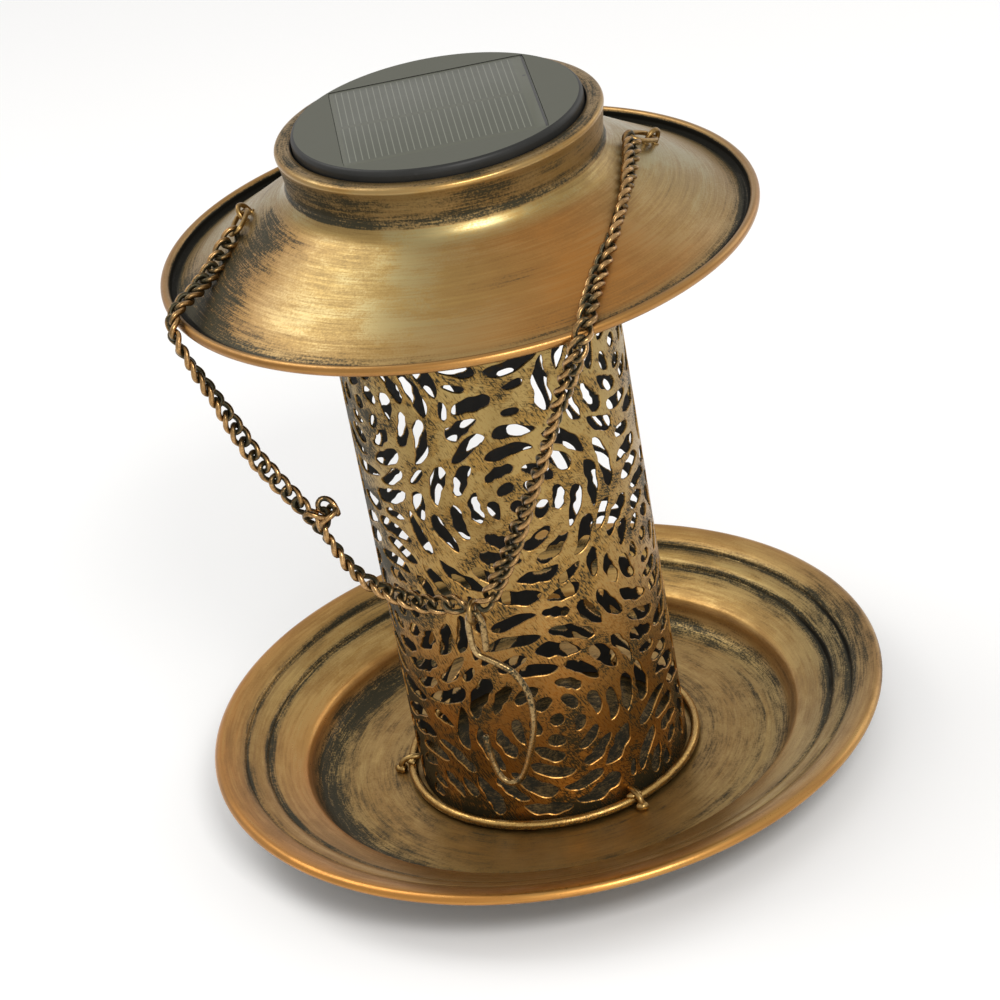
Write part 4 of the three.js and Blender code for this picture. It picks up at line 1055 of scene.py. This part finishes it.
# the panel: a resin-topped slab with two rows of cells
def cell_material():
    g = Graph("m_solar_panel")
    x, y, z = g.sep(g.obj())
    c, s = math.cos(turn), math.sin(turn)
    px = g.math("ADD", g.math("MULTIPLY", x, c), g.math("MULTIPLY", y, s))
    py = g.math("SUBTRACT", g.math("MULTIPLY", y, c), g.math("MULTIPLY", x, s))

    def inside(v, lo, hi, soft=0.00012):
        return g.math("MULTIPLY", g.step(v, lo - soft, lo + soft), g.step(v, hi - soft, hi + soft, 1.0, 0.0))

    rows_ = g.math("ADD", inside(py, -0.0275, -0.0008), inside(py, 0.0012, 0.0285), clamp=True)
    cells = g.math("MULTIPLY", rows_, inside(px, -0.0288, 0.0262))
    fr = g.math("FRACT", g.math("ADD", g.math("DIVIDE", px, 0.0019), 40.25))
    line = g.math("MULTIPLY", g.step(g.math("ABSOLUTE", g.math("SUBTRACT", fr, 0.5)), 0.035, 0.10, 1.0, 0.0), cells)
    bus = g.math("ADD", inside(py, 0.0002, 0.0010, 0.0001), inside(py, -0.0283, -0.0276, 0.0001), clamp=True)
    bus = g.math("MULTIPLY", bus, inside(px, -0.0288, 0.0262))
    frm = inside(px, 0.0292, 0.0299, 0.00008)
    dot = g.step(g.math("SQRT", g.math("ADD", g.math("POWER", g.math("SUBTRACT", px, 0.0283), 2.0), g.math("POWER", g.math("SUBTRACT", py, 0.013), 2.0))), 0.0004, 0.0007, 1.0, 0.0)
    n1 = g.noise(g.scaled(g.obj(), 60.0), 1.0, 3.0, 0.6)
    n2 = g.noise(g.scaled(g.obj(), (30.0, 900.0, 30.0)), 1.0, 3.0, 0.6)
    base = g.mix(n1, (0.065, 0.068, 0.045), (0.072, 0.075, 0.050))
    cell = g.mix(n2, (0.053, 0.056, 0.038), (0.062, 0.065, 0.045))
    col = g.mix(cells, base, cell)
    col = g.mix(g.math("MULTIPLY", line, 0.75), col, (0.190, 0.196, 0.155))
    col = g.mix(g.math("MULTIPLY", bus, 0.5), col, (0.060, 0.060, 0.045))
    col = g.mix(g.math("ADD", frm, dot, clamp=True), col, (0.012, 0.012, 0.011))
    rough = g.math("ADD", 0.30, g.math("MULTIPLY", n1, 0.15))
    return g.set(Base_Color=col, Roughness=rough, Coat_Weight=0.15, Coat_Roughness=0.3, Normal=g.bump(g.noise(g.scaled(g.obj(), 260.0), 1.0, 2.0, 0.5), 0.10, 0.0002))


M_PANEL = cell_material()
pn = Parts()
loops, zz = [], []
for half, rm, z in ((30.0, 42.15, 226.85), (30.1, 42.25, 227.0), (30.1, 42.25, 228.3), (30.02, 42.19, 228.45), (29.85, 42.05, 228.5)):
    loops.append(np.column_stack([square(half, rm), np.full(64, z)]))
V = np.vstack(loops)
F = [(k * 64 + i, k * 64 + (i + 1) % 64, (k + 1) * 64 + (i + 1) % 64, (k + 1) * 64 + i) for k in range(4) for i in range(64)]
F += [tuple(range(63, -1, -1)), tuple(4 * 64 + i for i in range(64))]
pn.add(V, F)
panel = pn.make("pv_panel_slab", [M_PANEL], angle=35)
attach(panel, "solar_light"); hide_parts("pv_panel")

# ------------------------------------------------------------------ finishes of the CAD pieces that keep their shape
M_STEEL = steel("m_steel")
M_BATT = plastic("m_battery_wrap", col=(0.03, 0.12, 0.05), rough=0.25)
M_BOARD = plastic("m_board", col=(0.015, 0.10, 0.035), rough=0.35)
M_RUBBER = plastic("m_rubber", col=(0.016, 0.016, 0.016), rough=0.7, bump=0.3)
g = Graph("m_led_epoxy")
M_LED = g.set(Base_Color=g.mix(g.noise(g.scaled(g.obj(), 300.0), 1.0, 2.0, 0.5), (0.85, 0.80, 0.55), (0.95, 0.92, 0.75)), Roughness=0.12, Coat_Weight=0.5)
g = Graph("m_led_lens")
M_LENS = g.set(Base_Color=g.mix(g.noise(g.scaled(g.obj(), 200.0), 1.0, 3.0, 0.5), (0.78, 0.80, 0.80), (0.90, 0.91, 0.90)), Roughness=0.35,
               Transmission_Weight=0.6, IOR=1.49, Normal=g.bump(g.voronoi(g.scaled(g.obj(), 600.0), 1.0), 0.2, 0.0002))
given = {"flange_gasket": M_RUBBER, "bottom_cover": M_BLACK, "battery_door": M_BLACK, "battery_box": M_BLACK, "battery": M_BATT,
         "battery_spring": M_STEEL, "battery_contact": M_STEEL, "circuit_board": M_BOARD, "led": M_LED, "led_lens": M_LENS,
         "switch_body": M_STEEL, "switch_knob": M_BLACK, "cover_screw_1": M_STEEL, "cover_screw_2": M_STEEL, "cover_screw_3": M_STEEL}
for name, mat in given.items():
    o = nodes[name]
    o.data.materials.clear()
    o.data.materials.append(mat)

# ------------------------------------------------------------------ floor and light
fl = Parts()
S = 2500.0
g2 = np.linspace(-S, S, 9)
V = [(x, y, -0.02) for y in g2 for x in g2]
F = [(j * 9 + i, j * 9 + i + 1, (j + 1) * 9 + i + 1, (j + 1) * 9 + i) for j in range(8) for i in range(8)]
fl.add(V, F)
g = Graph("m_floor")
M_FLOOR = g.set(Base_Color=g.mix(g.noise(g.scaled(g.obj(), 3.0), 1.0, 2.0, 0.5), (0.945, 0.948, 0.955), (0.960, 0.963, 0.970)), Roughness=0.9)
floor = fl.make("floor", [M_FLOOR])
floor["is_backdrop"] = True

world = bpy.data.worlds.new("world")
scene.world = world
world.use_nodes = True
world.node_tree.nodes["Background"].inputs[0].default_value = (1.0, 0.99, 0.975, 1)
world.node_tree.nodes["Background"].inputs[1].default_value = 0.75


def area(name, loc, target, size, power, colour=(1, 1, 1), size_y=None):
    d = bpy.data.lights.new(name, "AREA")
    d.energy = power
    d.color = colour
    d.shape = "RECTANGLE"
    d.size, d.size_y = size, size_y or size
    o = bpy.data.objects.new(name, d)
    scene.collection.objects.link(o)
    o.location = loc
    o.rotation_mode = "QUATERNION"
    o.rotation_quaternion = (Vector(loc) - Vector(target)).to_track_quat("Z", "Y")
    return o


area("key", (-0.60, 0.35, 1.04), (0, 0, 0.16), 0.56, 3.3, (1.0, 0.995, 0.97))
area("right", (0.95, 0.55, 0.55), (0, 0, 0.12), 0.6, 1.1, (1.0, 0.98, 0.94))
area("front", (0.30, -0.92, 1.02), (0, 0, 0.14), 0.46, 7.6, (1.0, 0.985, 0.96), 0.36)
area("low", (0.1, -1.25, 0.30), (0, 0, 0.10), 0.7, 1.5, (1.0, 0.96, 0.90))
scene.view_settings.view_transform = "Standard"
scene.view_settings.look = "None"

# ------------------------------------------------------------------ bounds of the shown objects
lo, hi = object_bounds()
